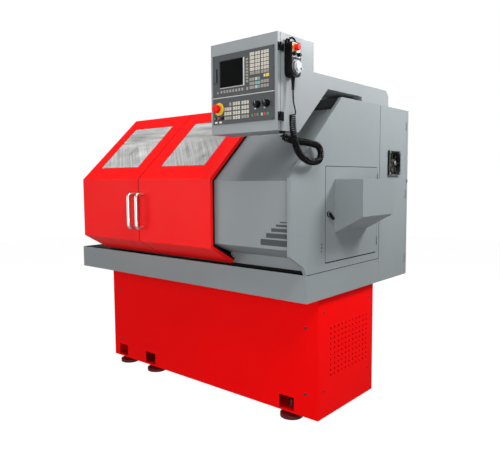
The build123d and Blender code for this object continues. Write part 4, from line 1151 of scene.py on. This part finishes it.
g = Geo()
for a in (60, 180, 300):
    ra = math.radians(a)
    g.screw("x", AXY + 70 * math.sin(ra), AXZ + 70 * math.cos(ra), -1290.0, 3.0, 9.0, 24)
g.done("chuck_bolts", m_dark_steel, "spindle")
for k in range(3):
    ra = math.radians(-120.0 * k)
    g = Geo()
    g.screw("x", AXY + 71 * math.sin(ra), AXZ + 71 * math.cos(ra), -1268.0, 2.6, 6.0, 20)
    g.screw("x", AXY + 46 * math.sin(ra), AXZ + 46 * math.cos(ra), -1250.0, 2.0, 5.0, 20)
    g.done("jaw_bolts_%d" % (k + 1), m_steel, "jaw_%d" % (k + 1))

g = Geo()
g.prism(rounded(-1640.0, -1420.0, 462.0, 642.0, 10.0), "z", 1289.6, 1294.0)
g.done("headstock_lid", m_grey, "machine", bevel=0.8)
g = Geo()
for x in (-1628.0, -1530.0, -1432.0):
    for y in (474.0, 630.0):
        g.screw("z", x, y, 1294.0, 3.0, 6.0, 18)
g.done("headstock_lid_screws", m_dark_steel, "machine")
g = Geo()
g.lathe("y", -1530.0, 1075.0, [(412.2, 0.0), (412.2, 24.0), (408.0, 24.0), (406.0, 21.0), (406.0, 16.0), (407.5, 15.0), (407.5, 0.0)], 40)
g.done("oil_sight_glass", m_brass, "machine")

g = Geo()
for k in range(28):
    a = 2 * math.pi * (k + 0.5) / 28
    ca, sa = math.cos(a), math.sin(a)
    q = [(784.0 + r * ca + w * sa, 1170.0 + r * sa - w * ca) for r, w in ((71.0, 1.3), (75.5, 0.9), (75.5, -0.9), (71.0, -1.3))]
    g.prism(q, "x", -1642.0, -1372.0)
g.done("motor_fins", m_dark_paint, "machine")

g = Geo()
for y0, y1 in ((418.0, 472.0), (632.0, 686.0)):
    for x0, x1 in ((-1064.0, -1059.8), (-760.2, -756.0)):
        g.prism([(y0, WAY + 0.6), (y1, WAY + 0.6), (y1, 992.0), (y1 - 6.0, 998.0), (y0 + 6.0, 998.0), (y0, 992.0)], "x", x0, x1)
g.done("way_wipers", m_black_soft, "carriage", bevel=0.5)
g = Geo()
for x in (-1048.0, -772.0):
    for y in (430.0, 552.0, 674.0):
        g.screw("z", x, y, 1010.0, 5.0, 7.0, 20)
g.done("saddle_bolts", m_dark_steel, "carriage")

TX, TY = -910.0, 340.0
g = Geo()
for sx in (-65.0, 65.0):
    for sy in (-50.0, 0.0, 50.0):
        g.screw("z", TX + sx, TY + sy, 1190.0, 0.9, 5.6, 18)
g.done("turret_clamp_sockets", m_steel, "turret")
g = Geo()
g.tube([(TX, TY, 1190.0), (TX, TY, 1203.0), (TX + 5.0, TY - 5.0, 1211.0), (TX + 22.0, TY - 22.0, 1219.0), (TX + 44.0, TY - 44.0, 1226.0)], 6.5, 16)
g.done("turret_lever", m_chrome, "turret")
g = Geo()
g.lathe("z", TX + 47.0, TY - 47.0, [(1214.0, 0.0), (1215.5, 6.5), (1219.0, 10.6), (1226.0, 13.0), (1233.0, 10.6), (1236.5, 6.5), (1238.0, 0.0)], 28)
g.done("turret_lever_ball", m_black, "turret")
g = Geo()
for f in (1, -1):
    g.prism([(TX - f * 74.2, TY + f * 103.0), (TX - f * 60.0, TY + f * 103.0), (TX - f * 70.4, TY + f * 115.4)], "z", 1139.8, 1143.6)
g.done("cutting_inserts", m_brass, "turret", bevel=0.3)

g = Geo()
g.tube([(-220.0, 500.0, 1125.0), (-220.0, 470.0, 1150.0), (-216.0, 450.0, 1192.0), (-210.0, 438.0, 1226.0)], 6.0, 14)
g.done("tailstock_lever", m_chrome, "tailstock")
g = Geo()
for x in (-310.0, -130.0):
    for y in (438.0, 666.0):
        g.screw("z", x, y, 1012.0, 6.0, 9.0, 22)
g.done("tailstock_bolts", m_dark_steel, "tailstock")
g = Geo()
for k in range(6):
    g.ring("x", AXY, AXZ, -396.0 + 10.0 * k, -395.2 + 10.0 * k, 32.15, 31.0, 48)
g.done("quill_graduations", m_ink, "quill")

g = Geo()
for y in (327.0, 410.0):
    for z in (875.0, 965.0):
        g.screw("x", y, z, -163.0, -3.0, 4.6, 16)
g.done("servo_bolts", m_steel, "machine")

g = Geo()
g.ring("z", -1240.0, 250.0, 693.9, 695.8, 58.0, 44.0, 48, 0.6)
for k in range(-3, 4):
    hw = math.sqrt(44.5 ** 2 - (12.0 * k) ** 2)
    g.box(-1240.0 - hw, -1240.0 + hw, 250.0 + 12.0 * k - 1.5, 250.0 + 12.0 * k + 1.5, 693.9, 695.2)
g.done("tray_strainer", m_steel, "machine")

# --- fan trim: hub cap and corner screws on the frame ---
g = Geo()
FY, FZ = 1043.0, 1388.0
g.lathe("x", FY, FZ, [(11.3, 0.0), (11.3, 13.0), (11.9, 12.0), (11.9, 0.0)], 32)
g.done("fan_hub_cap", m_silver, "machine")
g = Geo()
for sy in (-1, 1):
    for sz in (-1, 1):
        g.screw("x", FY + sy * 62.0, FZ + sz * 62.0, 12.0, 1.6, 5.5, 18)
g.done("fan_screws", m_silver, "machine")
g = Geo()
for sy0, sy1, sz0, sz1 in ((-73.0, 73.0, 70.4, 73.0), (-73.0, 73.0, -73.0, -70.4), (70.4, 73.0, -70.4, 70.4), (-73.0, -70.4, -70.4, 70.4)):
    g.box(11.8, 12.5, FY + sy0, FY + sy1, FZ + sz0, FZ + sz1)
g.done("fan_frame_rim", m_grey, "machine")
g = Geo()
g.ring("x", 322.0, 1119.0, 5.8, 8.2, 12.0, 7.4, 40, 0.7)
g.done("latch_ring", m_chrome, "side_latch")

# --- cabinet lock ---------------------------------------------------------------------------------------------
g = Geo()
g.box(-0.3, 2.6, 1229.0, 1238.0, 1270.0, 1288.0)
g.lathe("x", 1233.5, 1279.0, [(2.5, 0.0), (2.5, 3.4), (3.6, 3.0), (3.6, 0.0)], 20)
g.done("cabinet_lock", m_black, "cabinet_door", bevel=0.4)

# --- update the scene ----------------------------------------------------------------------------------------
bpy.context.view_layer.update()
